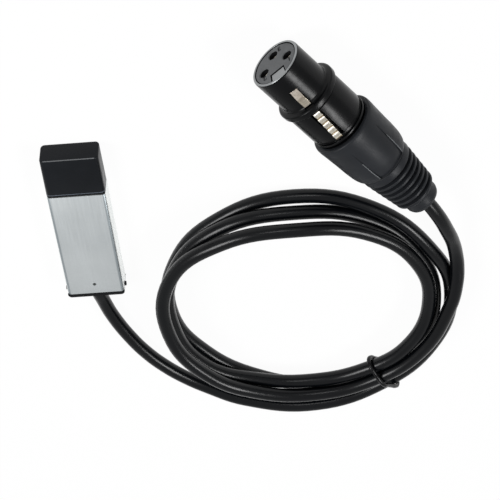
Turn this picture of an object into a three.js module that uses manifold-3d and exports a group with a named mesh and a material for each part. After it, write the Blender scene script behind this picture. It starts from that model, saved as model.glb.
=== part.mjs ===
// USB to DMX interface: a flat aluminium USB stick with a pull-off cap, a coiled cable and a
// three-pole female XLR connector with a push latch and a ribbed screw-on boot.
// Millimetres, +Z up. The origin is the middle of the stick's underside and the stick lies along Y,
// its cap towards -Y and its cable towards +Y.

import * as THREE from 'three';
import { mergeVertices } from 'three/addons/utils/BufferGeometryUtils.js';
import Module from 'manifold-3d';

const wasm = await Module();
wasm.setup();

// Driving dimensions of the USB stick
const housingWidth = 17.6;
const housingHeight = 7.5;
const capLength = 14.45;
const capJointGap = 0.25;
const tubeLength = 41.3;
const tubeWall = 0.6;
const rearFlange = 0.8;
const plugWidth = 12;
const plugHeight = 4.5;
const plugReach = 12;

// Driving dimensions of the cord and its coil
const cordDiameter = 4.4;
const coilRadius = 41;
const coilCentre = new THREE.Vector2(-63.5, 43.3);
const layerPitch = 4.8;
const restGap = 0.1;

// Driving dimensions of the XLR connector
const barrelRadius = 8;
const barrelLength = 12;
const shellBore = 7.2;
const midRadius = 8.98;
const midLength = 11.4;
const collarRadius = 9.7;
const collarLength = 2;
const bootRadius = 10.2;
const bootLength = 40.3;
const connectorAngle = THREE.MathUtils.degToRad(125);
const nosePlace = new THREE.Vector2(-62.9, -61.16);

// Clearances, and how far a cutting body runs past the face it opens
const seatGap = 0.3;
const fitGap = 0.15;
const overrun = 1;

// Facet counts
const barrelSides = 40;
const boreSides = 16;
const cornerSteps = 4;
const cordSides = 10;
const coilSides = 6;
const coilStepsPerTurn = 24;

const finish = {
  brushedAluminium: { color: 0xb7bdbf, roughness: 0.42, metalness: 0.85 },
  satinBlack: { color: 0x1d1d1f, roughness: 0.5, metalness: 0 },
  steel: { color: 0xb9bcc0, roughness: 0.3, metalness: 1 },
  gold: { color: 0xd8b25a, roughness: 0.3, metalness: 1 },
  whitePlastic: { color: 0xe4e4de, roughness: 0.5, metalness: 0 },
  boardGreen: { color: 0x1f5a3a, roughness: 0.5, metalness: 0 },
  chipBlack: { color: 0x17181a, roughness: 0.6, metalness: 0 },
  ceramicTan: { color: 0xa58660, roughness: 0.6, metalness: 0 },
  ledGreen: { color: 0x9fd8a0, roughness: 0.2, metalness: 0 },
  wireRed: { color: 0xa3231f, roughness: 0.5, metalness: 0 },
  wireWhite: { color: 0xe0ded6, roughness: 0.5, metalness: 0 },
  wireBare: { color: 0xb08d6a, roughness: 0.4, metalness: 0.9 },
  cordBlack: { color: 0x101012, roughness: 0.3, metalness: 0 },
  shellBlack: { color: 0x141416, roughness: 0.25, metalness: 0.4 },
  insertGrey: { color: 0x63666a, roughness: 0.55, metalness: 0 },
  nickel: { color: 0xd6d2c6, roughness: 0.28, metalness: 1 },
  bootBlack: { color: 0x2f3032, roughness: 0.7, metalness: 0 },
};

// Shapes and solids

function polygon(radius, sides) {
  const points = [];
  for (let i = 0; i < sides; i += 1) {
    const turn = ((i + 0.5) / sides) * 2 * Math.PI;
    points.push(new THREE.Vector2(radius * Math.cos(turn), radius * Math.sin(turn)));
  }
  return new THREE.Shape(points);
}

function roundedRectangle(width, height, radius) {
  const x = width / 2;
  const y = height / 2;
  const shape = new THREE.Shape();
  shape.absarc(x - radius, radius - y, radius, -Math.PI / 2, 0);
  shape.absarc(x - radius, y - radius, radius, 0, Math.PI / 2);
  shape.absarc(radius - x, y - radius, radius, Math.PI / 2, Math.PI);
  shape.absarc(radius - x, radius - y, radius, Math.PI, 1.5 * Math.PI);
  shape.closePath();
  return shape;
}

function outline(points) {
  return new THREE.Shape(points.map(([x, y]) => new THREE.Vector2(x, y)));
}

// A shape drawn in X and Z, extruded along Y from one place to another
function alongY(shape, from, to, bevel = 0) {
  const geometry = new THREE.ExtrudeGeometry(shape, {
    depth: to - from - 2 * bevel,
    bevelEnabled: bevel > 0,
    bevelThickness: bevel,
    bevelSize: bevel,
    bevelOffset: -bevel,
    bevelSegments: 2,
    curveSegments: cornerSteps,
  });
  geometry.rotateX(Math.PI / 2);
  geometry.translate(0, to - bevel, 0);
  return geometry;
}

// A shape drawn in X and Y, extruded along Z from one place to another
function alongZ(shape, from, to) {
  const geometry = new THREE.ExtrudeGeometry(shape, {
    depth: to - from,
    bevelEnabled: false,
    curveSegments: cornerSteps,
  });
  geometry.translate(0, 0, from);
  return geometry;
}

function box(x0, x1, y0, y1, z0, z1) {
  const geometry = new THREE.BoxGeometry(x1 - x0, y1 - y0, z1 - z0);
  geometry.translate((x0 + x1) / 2, (y0 + y1) / 2, (z0 + z1) / 2);
  return geometry;
}

// A profile of [radius, place] pairs, turned about the Z axis
function revolve(profile, sides) {
  const points = profile.map(([radius, place]) => new THREE.Vector2(radius, place));
  const geometry = new THREE.LatheGeometry(points, sides);
  geometry.rotateX(Math.PI / 2);
  return geometry;
}

// The profile of a tube wall, from its bore out to its skin and back
function ring(bore, outer, from, to) {
  return [[bore, from], [outer, from], [outer, to], [bore, to], [bore, from]];
}

function solid(geometry) {
  const bare = geometry.clone();
  bare.deleteAttribute('normal');
  bare.deleteAttribute('uv');
  const merged = mergeVertices(bare);
  const index = merged.index.array;
  const place = merged.attributes.position.array;
  const kept = [];
  let volume = 0;
  const a = new THREE.Vector3();
  const b = new THREE.Vector3();
  const c = new THREE.Vector3();
  for (let i = 0; i < index.length; i += 3) {
    const [p, q, r] = [index[i], index[i + 1], index[i + 2]];
    if (p !== q && q !== r && r !== p) {
      kept.push(p, q, r);
      a.fromArray(place, 3 * p);
      b.fromArray(place, 3 * q);
      c.fromArray(place, 3 * r);
      volume += a.dot(b.cross(c));
    }
  }
  if (volume < 0) {
    kept.reverse();
  }
  return new wasm.Manifold(new wasm.Mesh({
    numProp: 3,
    vertProperties: new Float32Array(place),
    triVerts: new Uint32Array(kept),
  }));
}

function geometryOf(manifold) {
  const mesh = manifold.getMesh();
  const geometry = new THREE.BufferGeometry();
  geometry.setAttribute('position', new THREE.BufferAttribute(mesh.vertProperties, 3));
  geometry.setIndex(new THREE.BufferAttribute(mesh.triVerts, 1));
  geometry.computeVertexNormals();
  return geometry;
}

function cut(geometry, ...cutters) {
  let body = solid(geometry);
  for (const cutter of cutters) {
    body = body.subtract(solid(cutter));
  }
  return geometryOf(body);
}

function join(geometry, ...others) {
  let body = solid(geometry);
  for (const other of others) {
    body = body.add(solid(other));
  }
  return geometryOf(body);
}

// solid() turns the mirrored body's faces out again
function mirroredInX(geometry) {
  return geometry.clone().scale(-1, 1, 1);
}

const interfaceGroup = new THREE.Group();

function piece(name, geometry, look, group = interfaceGroup) {
  const mesh = new THREE.Mesh(geometry, new THREE.MeshStandardMaterial(look));
  mesh.name = name;
  group.add(mesh);
  return mesh;
}

// Places along the stick, worked out from its lengths
const stickLength = capLength + capJointGap + tubeLength + rearFlange;
const capEnd = -stickLength / 2;
const capMouth = capEnd + capLength;
const tubeFront = capMouth + capJointGap;
const tubeRear = tubeFront + tubeLength;
const stickRear = stickLength / 2;
const midHeight = housingHeight / 2;
const boreWidth = housingWidth - 2 * tubeWall;
const boreHeight = housingHeight - 2 * tubeWall;
const edgeRadius = 1;
const boreRadius = edgeRadius - tubeWall;
const tubeBevel = 0.12;
const plugTip = tubeFront - plugReach;

const clip = {
  fromRear: 1.1,
  length: 1.1,
  height: 1.5,
  rise: 1,
  proud: 0.6,
  armLength: 3.9,
  armThickness: 0.8,
  armHeight: 4,
};
const clipPlace = tubeRear - clip.fromRear;
const lightHole = { radius: 0.55, fromRear: 4.3 };
const lightPlace = tubeRear - lightHole.fromRear;

function housingTube() {
  const section = roundedRectangle(housingWidth, housingHeight, edgeRadius);
  const bore = roundedRectangle(boreWidth, boreHeight, boreRadius);
  const skin = alongY(section, tubeFront, tubeRear, tubeBevel);
  const hollow = alongY(bore, tubeFront - overrun, tubeRear + overrun);
  const windows = box(
    -housingWidth / 2 - overrun,
    housingWidth / 2 + overrun,
    clipPlace - clip.length / 2,
    clipPlace + clip.length / 2,
    clip.rise - clip.height / 2,
    clip.rise + clip.height / 2,
  );
  const hole = alongZ(polygon(lightHole.radius, boreSides), 0, midHeight + overrun);
  hole.translate(0, lightPlace, 0);
  const geometry = cut(skin, hollow, windows, hole);
  geometry.translate(0, 0, midHeight);
  return geometry;
}

function usbCap() {
  const cap = {
    cornerRadius: 1.3,
    endRound: 0.5,
    narrowing: 0.25,
    pocketSpare: 0.5,
    mouthBevel: 0.35,
  };
  const section = roundedRectangle(housingWidth, housingHeight, cap.cornerRadius);
  const skin = alongY(section, capEnd, capMouth, cap.endRound);
  const places = skin.attributes.position;
  for (let i = 0; i < places.count; i += 1) {
    const share = (capMouth - places.getY(i)) / capLength;
    places.setX(i, places.getX(i) * (1 - (share * cap.narrowing) / housingWidth));
  }
  const pocketWidth = plugWidth + 2 * fitGap;
  const pocketHeight = plugHeight + 2 * fitGap;
  const pocket = box(
    -pocketWidth / 2,
    pocketWidth / 2,
    plugTip - cap.pocketSpare,
    capMouth + overrun,
    -pocketHeight / 2,
    pocketHeight / 2,
  );
  const mouth = box(
    -pocketWidth / 2 - cap.mouthBevel,
    pocketWidth / 2 + cap.mouthBevel,
    capMouth - cap.mouthBevel,
    capMouth + overrun,
    -pocketHeight / 2 - cap.mouthBevel,
    pocketHeight / 2 + cap.mouthBevel,
  );
  const geometry = cut(skin, pocket, mouth);
  geometry.translate(0, 0, midHeight);
  return geometry;
}

// The USB plug: steel shell, tongue and four contacts
const plugShell = { wall: 0.3, insideTube: 6.6 };
const windowInShell = { width: 2.5, length: 2, spacing: 6, fromTip: 5.2 };
const plugRear = tubeFront + plugShell.insideTube;
const plugFloor = midHeight - plugHeight / 2 + plugShell.wall;
const tongue = { thickness: 1.7, width: 11.1, setBack: 0.4 };
const tongueTop = plugFloor + tongue.thickness;
const contact = { thickness: 0.15, width: 1, outer: 3.5, inner: 1, setBack: 1.4, innerSetBack: 1, tail: 2.2 };
const boardTop = tongueTop;
const boardFront = plugRear + seatGap;

function usbPlugShell() {
  const skin = box(
    -plugWidth / 2,
    plugWidth / 2,
    plugTip,
    plugRear,
    midHeight - plugHeight / 2,
    midHeight + plugHeight / 2,
  );
  const innerWidth = plugWidth / 2 - plugShell.wall;
  const hollow = box(
    -innerWidth,
    innerWidth,
    plugTip - overrun,
    plugRear + overrun,
    plugFloor,
    midHeight + plugHeight / 2 - plugShell.wall,
  );
  const cutters = [hollow];
  for (const side of [-1, 1]) {
    const middle = (side * windowInShell.spacing) / 2;
    cutters.push(box(
      middle - windowInShell.width / 2,
      middle + windowInShell.width / 2,
      plugTip + windowInShell.fromTip,
      plugTip + windowInShell.fromTip + windowInShell.length,
      midHeight - plugHeight / 2 - overrun,
      midHeight + plugHeight / 2 + overrun,
    ));
  }
  return cut(skin, ...cutters);
}

const bezelLength = 5.2;

function frontBezel() {
  const width = boreWidth - 2 * fitGap;
  const height = boreHeight - 2 * fitGap;
  const skin = box(
    -width / 2,
    width / 2,
    tubeFront,
    tubeFront + bezelLength,
    midHeight - height / 2,
    midHeight + height / 2,
  );
  const hole = box(
    -plugWidth / 2 - fitGap,
    plugWidth / 2 + fitGap,
    tubeFront - overrun,
    tubeFront + bezelLength + overrun,
    midHeight - plugHeight / 2 - fitGap,
    midHeight + plugHeight / 2 + fitGap,
  );
  return cut(skin, hole);
}

// The rear end cap: flange, short spigot, two arms with clip tabs, and the cable hole
const spigot = { length: 2.4 };
const spigotFront = tubeRear - spigot.length;
const cableHole = cordDiameter / 2 + seatGap;
const armRoot = boreWidth / 2 - fitGap;
const ferrule = { length: 1, wall: 0.45 };
const cordInnerEnd = spigotFront - ferrule.length;

function rearEndCap() {
  const section = roundedRectangle(housingWidth, housingHeight, edgeRadius);
  const flange = alongY(section, tubeRear, stickRear, tubeBevel);
  const height = boreHeight - 2 * fitGap;
  const block = box(-armRoot, armRoot, spigotFront, tubeRear + rearFlange / 2, -height / 2, height / 2);
  const bodies = [block];
  for (const side of [-1, 1]) {
    const arm = box(
      armRoot - clip.armThickness,
      armRoot,
      clipPlace - clip.armLength,
      tubeRear,
      -clip.armHeight / 2,
      clip.armHeight / 2,
    );
    const tab = box(
      armRoot - clip.armThickness,
      housingWidth / 2 + clip.proud,
      clipPlace - clip.length / 2 + fitGap,
      clipPlace + clip.length / 2 - fitGap,
      clip.rise - clip.height / 2 + fitGap,
      clip.rise + clip.height / 2 - fitGap,
    );
    for (const body of [arm, tab]) {
      bodies.push(side > 0 ? body : mirroredInX(body));
    }
  }
  const cable = alongY(polygon(cableHole, boreSides), spigotFront - overrun, stickRear + overrun);
  const geometry = cut(join(flange, ...bodies), cable);
  geometry.translate(0, 0, midHeight);
  return geometry;
}

// The board and what is soldered to it, each set on the board's upper face. Their places are
// shares of the board: across from its middle line, and along from its front edge.
const board = { width: boreWidth - 2 * seatGap, thickness: 1 };
const boardRear = cordInnerEnd - seatGap;
const components = {
  interface_chip: { width: 5.3, length: 10.2, height: 1.75, acrossShare: 0, alongShare: 0.28 },
  line_driver_chip: { width: 4, length: 5, height: 1.5, acrossShare: 0, alongShare: 0.6 },
  crystal: { width: 3.2, length: 5, height: 1.1, acrossShare: 0.342, alongShare: 0.293 },
  capacitor_1: { width: 1.25, length: 2, height: 1.2, acrossShare: -0.329, alongShare: 0.15 },
  capacitor_2: { width: 1.25, length: 2, height: 1.2, acrossShare: -0.329, alongShare: 0.293 },
  capacitor_3: { width: 1.25, length: 2, height: 1.2, acrossShare: 0.316, alongShare: 0.489 },
  resistor_1: { width: 1.25, length: 2, height: 0.5, acrossShare: -0.316, alongShare: 0.456 },
  resistor_2: { width: 1.25, length: 2, height: 0.5, acrossShare: -0.316, alongShare: 0.6 },
};

// The board's rear corners are notched for the arms of the rear end cap
function circuitBoard() {
  const bottom = boardTop - board.thickness;
  const slab = box(-board.width / 2, board.width / 2, boardFront, boardRear, bottom, boardTop);
  const notch = box(
    armRoot - clip.armThickness - seatGap,
    board.width / 2 + overrun,
    clipPlace - clip.armLength - seatGap,
    boardRear + overrun,
    bottom - overrun,
    boardTop + overrun,
  );
  return cut(slab, notch, mirroredInX(notch));
}

function component({ width, length, height, acrossShare, alongShare }) {
  const x = acrossShare * board.width;
  const y = boardFront + alongShare * (boardRear - boardFront);
  return box(x - width / 2, x + width / 2, y - length / 2, y + length / 2, boardTop, boardTop + height);
}

// A crimped collar that stops the cord from pulling out through the rear end cap
function cordFerrule() {
  const bore = cordDiameter / 2 + fitGap;
  const half = ferrule.length / 2;
  const geometry = revolve(ring(bore, bore + ferrule.wall, -half, half), boreSides);
  geometry.rotateX(Math.PI / 2);
  geometry.translate(0, spigotFront - half, midHeight);
  return geometryOf(solid(geometry));
}

// The status light stands on the board under the hole in the tube
function statusLed() {
  const led = { radius: 0.42 };
  const lens = alongZ(polygon(led.radius, boreSides), boardTop, housingHeight - tubeWall - fitGap);
  lens.translate(0, lightPlace, 0);
  return lens;
}

// The cord

function smoothPath(points) {
  return new THREE.CatmullRomCurve3(points, false, 'centripetal');
}

function tubeAlong(points, radius, sides, step) {
  const path = smoothPath(points);
  return new THREE.ExtrudeGeometry(polygon(radius, sides), {
    steps: Math.max(2, Math.round(path.getLength() / step)),
    extrudePath: path,
    bevelEnabled: false,
  });
}

// The coil's form at twelve compass points a turn, from lower left, anticlockwise from above:
// how many cord diameters each point lies outside the coil's mean radius, and in which layer
const compassPoints = 12;
const coilStart = THREE.MathUtils.degToRad(60);
const coilOffsetShares = [
  [1.49, 1.05, 0.68, 0.74, 0.84, 0.93, 1.2, 1.22, 1.01, 0.75, 0.27, -0.52],
  [-0.94, -1.14, -1.3, -0.8, -0.36, -0.16, -0.04, 0.4, 1.04, 0.86, 0.22, -0.5],
  [-1.62, -2.05, -2.04, -1.36, -0.67, -0.19, -0.26, -0.03, 0.81, 1.17, 0.39, -0.68],
  [-1.16, -1.12, -0.95, -0.2, 0.87],
];
const coilLayerShares = [
  [0.33, 0.39, 0.23, 0.11, 0, 0.25, 0.24, 0.02, 0, 0, 0, 0],
  [0, 0.06, 0.23, 0.05, 0, 0, 0.08, 0.77, 1.05, 1.01, 1.05, 1.14],
  [0.82, 0.7, 0.99, 0.98, 0.99, 1.03, 1.14, 1.91, 2.13, 2, 2.06, 2.17],
  [1.77, 1.28, 1.19, 1.02, 1.04],
];

function coilCurve() {
  const points = [];
  coilOffsetShares.forEach((row, turn) => {
    row.forEach((offsetShare, step) => {
      const angle = coilStart + (turn + step / compassPoints) * 2 * Math.PI;
      const radius = coilRadius + offsetShare * cordDiameter;
      points.push(new THREE.Vector3(
        coilCentre.x + radius * Math.cos(angle),
        coilCentre.y + radius * Math.sin(angle),
        cordDiameter / 2 + restGap + coilLayerShares[turn][step] * layerPitch,
      ));
    });
  });
  return smoothPath(points);
}

function coilPoints() {
  const curve = coilCurve();
  const turns = (curve.points.length - 1) / compassPoints;
  const steps = Math.round(turns * coilStepsPerTurn);
  const points = [];
  for (let i = 0; i <= steps; i += 1) {
    points.push(curve.getPoint(i / steps));
  }
  // Each end runs straight for one diameter, square to the lead that it meets
  const first = points[0].clone().sub(points[1]).setLength(cordDiameter);
  const last = points.at(-1).clone().sub(points.at(-2)).setLength(cordDiameter);
  points.unshift(points[0].clone().add(first));
  points.push(points.at(-1).clone().add(last));
  return points;
}

// One unbroken tube through a list of points. Its rings are square to the path, and one of their
// axes is square to a fixed direction too. A closed tube runs back into its own first ring.
function ringTube(points, radius, sides, fixed, closed) {
  const places = [];
  const faces = [];
  const count = points.length;
  points.forEach((point, i) => {
    const before = points[closed ? (i + count - 1) % count : Math.max(i - 1, 0)];
    const after = points[closed ? (i + 1) % count : Math.min(i + 1, count - 1)];
    const along = after.clone().sub(before).normalize();
    const across = along.clone().cross(fixed).normalize();
    const up = across.clone().cross(along);
    for (let k = 0; k < sides; k += 1) {
      const turn = (k / sides) * 2 * Math.PI;
      const place = point.clone();
      place.addScaledVector(across, radius * Math.cos(turn));
      place.addScaledVector(up, radius * Math.sin(turn));
      places.push(place.x, place.y, place.z);
    }
  });
  for (let i = 0; i < (closed ? count : count - 1); i += 1) {
    const [row, nextRow] = [i * sides, ((i + 1) % count) * sides];
    for (let k = 0; k < sides; k += 1) {
      const next = (k + 1) % sides;
      faces.push(row + k, nextRow + k, row + next, row + next, nextRow + k, nextRow + next);
    }
  }
  const end = (count - 1) * sides;
  for (let k = 1; k < sides - 1 && !closed; k += 1) {
    faces.push(0, k, k + 1, end, end + k + 1, end + k);
  }
  const geometry = new THREE.BufferGeometry();
  geometry.setAttribute('position', new THREE.Float32BufferAttribute(places, 3));
  geometry.setIndex(faces);
  geometry.computeVertexNormals();
  return geometry;
}

// The least distance between the skins of two stretches of one tube, measured on its points
function leastSelfGap(curve, radius, apart) {
  const samples = curve.getSpacedPoints(Math.round(curve.getLength()));
  const spacing = curve.getLength() / (samples.length - 1);
  const skip = Math.ceil(apart / spacing);
  let least = Infinity;
  for (let i = 0; i < samples.length; i += 1) {
    for (let k = i + skip; k < samples.length; k += 1) {
      least = Math.min(least, samples[i].distanceTo(samples[k]));
    }
  }
  return least - 2 * radius;
}

const coilRoute = coilPoints();
const coilPath = smoothPath(coilRoute);
const cordTableHeight = cordDiameter / 2 + restGap;
const upward = new THREE.Vector3(0, 0, 1);

function stepFrom(point, towards, distance) {
  return point.clone().sub(towards).setLength(distance).add(point);
}

// From the ferrule through the rear end cap and over the table to the coil
const usbLeadPlaces = [[-2.7, 43.2], [-7.2, 54.1], [-12.1, 62.5], [-17.1, 69], [-22.5, 74.4]];
const usbLeadDip = { x: -0.6, y: 35, z: 3 };

function usbLeadRoute() {
  const meeting = stepFrom(coilRoute[0], coilRoute[1], seatGap);
  return [
    new THREE.Vector3(0, cordInnerEnd, midHeight),
    new THREE.Vector3(0, stickRear, midHeight),
    new THREE.Vector3(0, stickRear + cordDiameter / 2, midHeight),
    new THREE.Vector3(usbLeadDip.x, usbLeadDip.y, usbLeadDip.z),
    ...usbLeadPlaces.map(([x, y]) => new THREE.Vector3(x, y, cordTableHeight)),
    stepFrom(meeting, coilRoute[0], cordDiameter),
    meeting,
  ];
}

// From the coil to the clamp inside the boot
const axisHeight = bootRadius + restGap / 2;
const chuckRear = 46;
const axisDirection = new THREE.Vector3(Math.cos(connectorAngle), Math.sin(connectorAngle), 0);

function onAxis(place) {
  return new THREE.Vector3(nosePlace.x, nosePlace.y, axisHeight).addScaledVector(axisDirection, place);
}

const bootFront = 29.2;
const bootRear = bootFront + bootLength;
const cordXlrEnd = 31;
const xlrLeadPlaces = [
  [-110.8, 25.5, 6.3],
  [-110.4, 19.8, 6.3],
  [-109.5, 14.5, 7.1],
  [-107.8, 8.1, 8.6],
  [-105.3, 0.9, 10],
];

function xlrLeadRoute() {
  const meeting = stepFrom(coilRoute.at(-1), coilRoute.at(-2), seatGap);
  return [
    meeting,
    stepFrom(meeting, coilRoute.at(-1), cordDiameter),
    ...xlrLeadPlaces.map((place) => new THREE.Vector3(...place)),
    onAxis(bootRear),
    onAxis(cordXlrEnd),
  ];
}

// The tie: a thin loop drawn tight round the strands of the coil that cross its plane
const tie = { radius: 0.4, angle: THREE.MathUtils.degToRad(122), sides: 6, samples: 20 };

function strandsAtTie() {
  const outward = new THREE.Vector2(Math.cos(tie.angle), Math.sin(tie.angle));
  const samples = coilPath.getSpacedPoints(Math.round(coilPath.getLength()));
  const strands = [];
  for (let i = 1; i < samples.length; i += 1) {
    const [before, after] = [samples[i - 1], samples[i]].map((point) => {
      const flat = new THREE.Vector2(point.x, point.y).sub(coilCentre);
      return { side: outward.cross(flat), reach: outward.dot(flat), height: point.z };
    });
    if (before.side < 0 && after.side >= 0 && after.reach > 0) {
      strands.push(new THREE.Vector2(after.reach, after.height));
    }
  }
  return strands;
}

function convexOutline(points) {
  const sorted = [...points].sort((a, b) => a.x - b.x || a.y - b.y);
  const half = (list) => {
    const chain = [];
    for (const point of list) {
      while (chain.length > 1) {
        const [a, b] = chain.slice(-2);
        if (b.clone().sub(a).cross(point.clone().sub(b)) > 0) {
          break;
        }
        chain.pop();
      }
      chain.push(point);
    }
    return chain.slice(0, -1);
  };
  return [...half(sorted), ...half(sorted.reverse())];
}

function cordTie() {
  const reach = cordDiameter / 2 + seatGap + tie.radius;
  const around = [];
  for (const strand of strandsAtTie()) {
    for (let i = 0; i < tie.samples; i += 1) {
      const turn = (i / tie.samples) * 2 * Math.PI;
      around.push(new THREE.Vector2(reach * Math.cos(turn), reach * Math.sin(turn)).add(strand));
    }
  }
  const outward = new THREE.Vector3(Math.cos(tie.angle), Math.sin(tie.angle), 0);
  const loop = convexOutline(around).map((point) => {
    const place = new THREE.Vector3(coilCentre.x, coilCentre.y, point.y);
    return place.addScaledVector(outward, point.x);
  });
  const planeNormal = new THREE.Vector3(-outward.y, outward.x, 0);
  return ringTube(loop, tie.radius, tie.sides, planeNormal, true);
}

// Insulated wires, from the cord's ends to the board and to the connector's contacts
const wireRadius = 0.35;
const wireSides = 6;

function boardWires() {
  const start = cordInnerEnd - fitGap;
  const above = boardTop + wireRadius + fitGap;
  const below = boardTop - board.thickness - wireRadius - fitGap;
  const spread = 1.5;
  const reach = 3.6;
  return [[-spread, above], [spread, above], [0, below]].map(([x, z]) => alongWire([
    new THREE.Vector3(x, start, z),
    new THREE.Vector3(x, start - reach / 2, z),
    new THREE.Vector3(1.5 * x, start - reach, z),
  ]));
}

function alongWire(points) {
  return tubeAlong(points, wireRadius, wireSides, 4 * wireRadius);
}

function connectorWire(place) {
  const near = place.clone().multiplyScalar(cordDiameter / 4 / pinCircle);
  return alongWire([
    new THREE.Vector3(near.x, near.y, cordXlrEnd - fitGap),
    new THREE.Vector3(near.x, near.y, cordXlrEnd - 2 * wireRadius),
    new THREE.Vector3(place.x, place.y, sleeve.tailEnd + 3 * wireRadius),
    new THREE.Vector3(place.x, place.y, sleeve.tailEnd + fitGap),
  ]);
}

// The XLR connector, drawn along its own Z axis from its nose plane: local X points to the side that
// faces the viewer, local Y points up. Angles are measured from up towards that side.
const xlrTurn = new THREE.Group();
xlrTurn.position.set(nosePlace.x, nosePlace.y, axisHeight);
xlrTurn.rotation.z = connectorAngle + Math.PI / 2;
interfaceGroup.add(xlrTurn);
const xlrGroup = new THREE.Group();
xlrGroup.rotation.x = Math.PI / 2;
xlrTurn.add(xlrGroup);

const keyAngle = THREE.MathUtils.degToRad(10.5);
const rim = { radius: 7.75, chamfer: 0.6 };
const collarStart = 13;
const collarGroove = 0.4;
const collarEnd = collarStart + collarLength;
const midStart = collarEnd + collarGroove;
const midEnd = midStart + midLength;
const neckRadius = 8.3;
const neckRing = { radius: 9.3, from: 27.9, to: 28.9 };
const spigotEnd = 36.5;
const key = { inner: 3.9, innerWidth: 4.1, outerWidth: 4.6, length: 5 };
const insert = { radius: shellBore - seatGap, front: 0.1, rear: 24 };
const pinCircle = 4.15;
const pinHole = { radius: 1.5, depth: 2.2, sleeveSpace: 1.9 };
const pinAngles = [85, -85, 180];
const sleeve = { radius: 1.6, bore: 1.25, depth: 12, tail: 1.1, tailEnd: 27 };
const latch = {
  width: 2.7,
  top: 6.9,
  bottom: 5.9,
  hookFront: 6.2,
  hookNose: 7.5,
  hookTop: 8.35,
  hookBend: 9,
  hookRear: 12.4,
  buttonFront: 15.8,
  buttonRear: 26.4,
  buttonLow: 8.5,
  buttonHigh: 9.6,
  ridges: 5,
  ridgeHeight: 0.3,
  tail: 28.2,
  drop: 1.4,
};
const latchWindow = { from: 5.9, to: 12.8 };
const channelFloor = latch.bottom - latch.drop;

// The spring stands on the insert and ends just under the lever's lowest place when pressed
const spring = {
  radius: 0.9,
  wireRadius: 0.15,
  foot: 3.2,
  place: 20,
  curls: 4,
  curlSteps: 8,
  sides: 5,
  pressRoom: 0.2,
};
const springLength = latch.bottom - seatGap - spring.pressRoom - spring.foot;

// Turns a body drawn with its feature at the top so that the feature sits at the key's angle
function atKey(geometry) {
  geometry.rotateZ(-keyAngle);
  return geometry;
}

function xlrShell() {
  const profile = [
    [shellBore, 0],
    [rim.radius, 0],
    [barrelRadius - 0.1 * rim.chamfer, 0.4 * rim.chamfer],
    [barrelRadius, rim.chamfer],
    [barrelRadius, barrelLength],
    [barrelRadius + 0.1 * collarLength, collarStart - 0.25 * collarLength],
    [barrelRadius + 0.3 * collarLength, collarStart - 0.08 * collarLength],
    [collarRadius - 0.15 * collarLength, collarStart],
    [collarRadius, collarStart + 0.15 * collarLength],
    [collarRadius, collarEnd - 0.15 * collarLength],
    [collarRadius - 0.15 * collarLength, collarEnd],
    [neckRadius + fitGap, collarEnd],
    [neckRadius + fitGap, midStart - fitGap],
    [midRadius, midStart],
    [midRadius, midEnd - fitGap],
    [midRadius - fitGap, midEnd],
    [neckRadius, midEnd],
    [neckRadius, neckRing.from],
    [neckRing.radius, neckRing.from],
    [neckRing.radius, neckRing.to],
    [neckRadius, neckRing.to],
    [neckRadius, spigotEnd],
    [shellBore, spigotEnd],
    [shellBore, 0],
  ];
  const keyBlock = alongZ(
    outline([
      [-key.innerWidth / 2, key.inner],
      [key.innerWidth / 2, key.inner],
      [key.outerWidth / 2, (shellBore + rim.radius) / 2 - fitGap],
      [-key.outerWidth / 2, (shellBore + rim.radius) / 2 - fitGap],
    ]),
    0,
    key.length,
  );
  const opening = (halfWidth, from, to) => (
    atKey(box(-halfWidth, halfWidth, key.inner, collarRadius + overrun, from, to))
  );
  const window = opening(latch.width / 2 + seatGap, latchWindow.from, latchWindow.to);
  const slot = opening(latch.width / 2 + 2 * seatGap, collarEnd + fitGap, midEnd - seatGap);
  const body = cut(revolve(profile, barrelSides), window, slot);
  return join(body, atKey(keyBlock));
}

function xlrInsert() {
  const body = revolve(
    [[0, insert.front], [insert.radius, insert.front], [insert.radius, insert.rear], [0, insert.rear]],
    barrelSides,
  );
  const cutters = [];
  const keySlot = outline([
    [-key.innerWidth / 2 - seatGap, key.inner - seatGap],
    [key.innerWidth / 2 + seatGap, key.inner - seatGap],
    [key.outerWidth / 2 + seatGap, shellBore + overrun],
    [-key.outerWidth / 2 - seatGap, shellBore + overrun],
  ]);
  cutters.push(atKey(alongZ(keySlot, -overrun, key.length + seatGap)));
  const halfChannel = latch.width / 2 + seatGap;
  cutters.push(atKey(box(
    -halfChannel,
    halfChannel,
    channelFloor,
    shellBore + overrun,
    key.length,
    insert.rear + overrun,
  )));
  for (const place of pinPlaces()) {
    const mouth = alongZ(polygon(pinHole.radius, boreSides), -overrun, insert.rear + overrun);
    mouth.translate(place.x, place.y, 0);
    const space = alongZ(polygon(pinHole.sleeveSpace, boreSides), pinHole.depth, insert.rear + overrun);
    space.translate(place.x, place.y, 0);
    cutters.push(mouth, space);
  }
  const springSeat = alongZ(polygon(spring.radius + seatGap, boreSides), 0, springLength + overrun);
  springSeat.rotateX(-Math.PI / 2);
  springSeat.translate(0, spring.foot, spring.place);
  cutters.push(atKey(springSeat));
  return cut(body, ...cutters);
}

function pinPlaces() {
  return pinAngles.map((degrees) => {
    const angle = keyAngle + THREE.MathUtils.degToRad(degrees);
    return new THREE.Vector2(pinCircle * Math.sin(angle), pinCircle * Math.cos(angle));
  });
}

function xlrContact(place) {
  const from = pinHole.depth + seatGap;
  const profile = [
    [sleeve.bore, from],
    [sleeve.radius, from],
    [sleeve.radius, insert.rear - seatGap],
    [sleeve.tail, insert.rear],
    [sleeve.tail, sleeve.tailEnd],
    [0, sleeve.tailEnd],
    [0, from + sleeve.depth],
    [sleeve.bore, from + sleeve.depth],
    [sleeve.bore, from],
  ];
  const geometry = geometryOf(solid(revolve(profile, boreSides)));
  geometry.translate(place.x, place.y, 0);
  return geometry;
}

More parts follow.
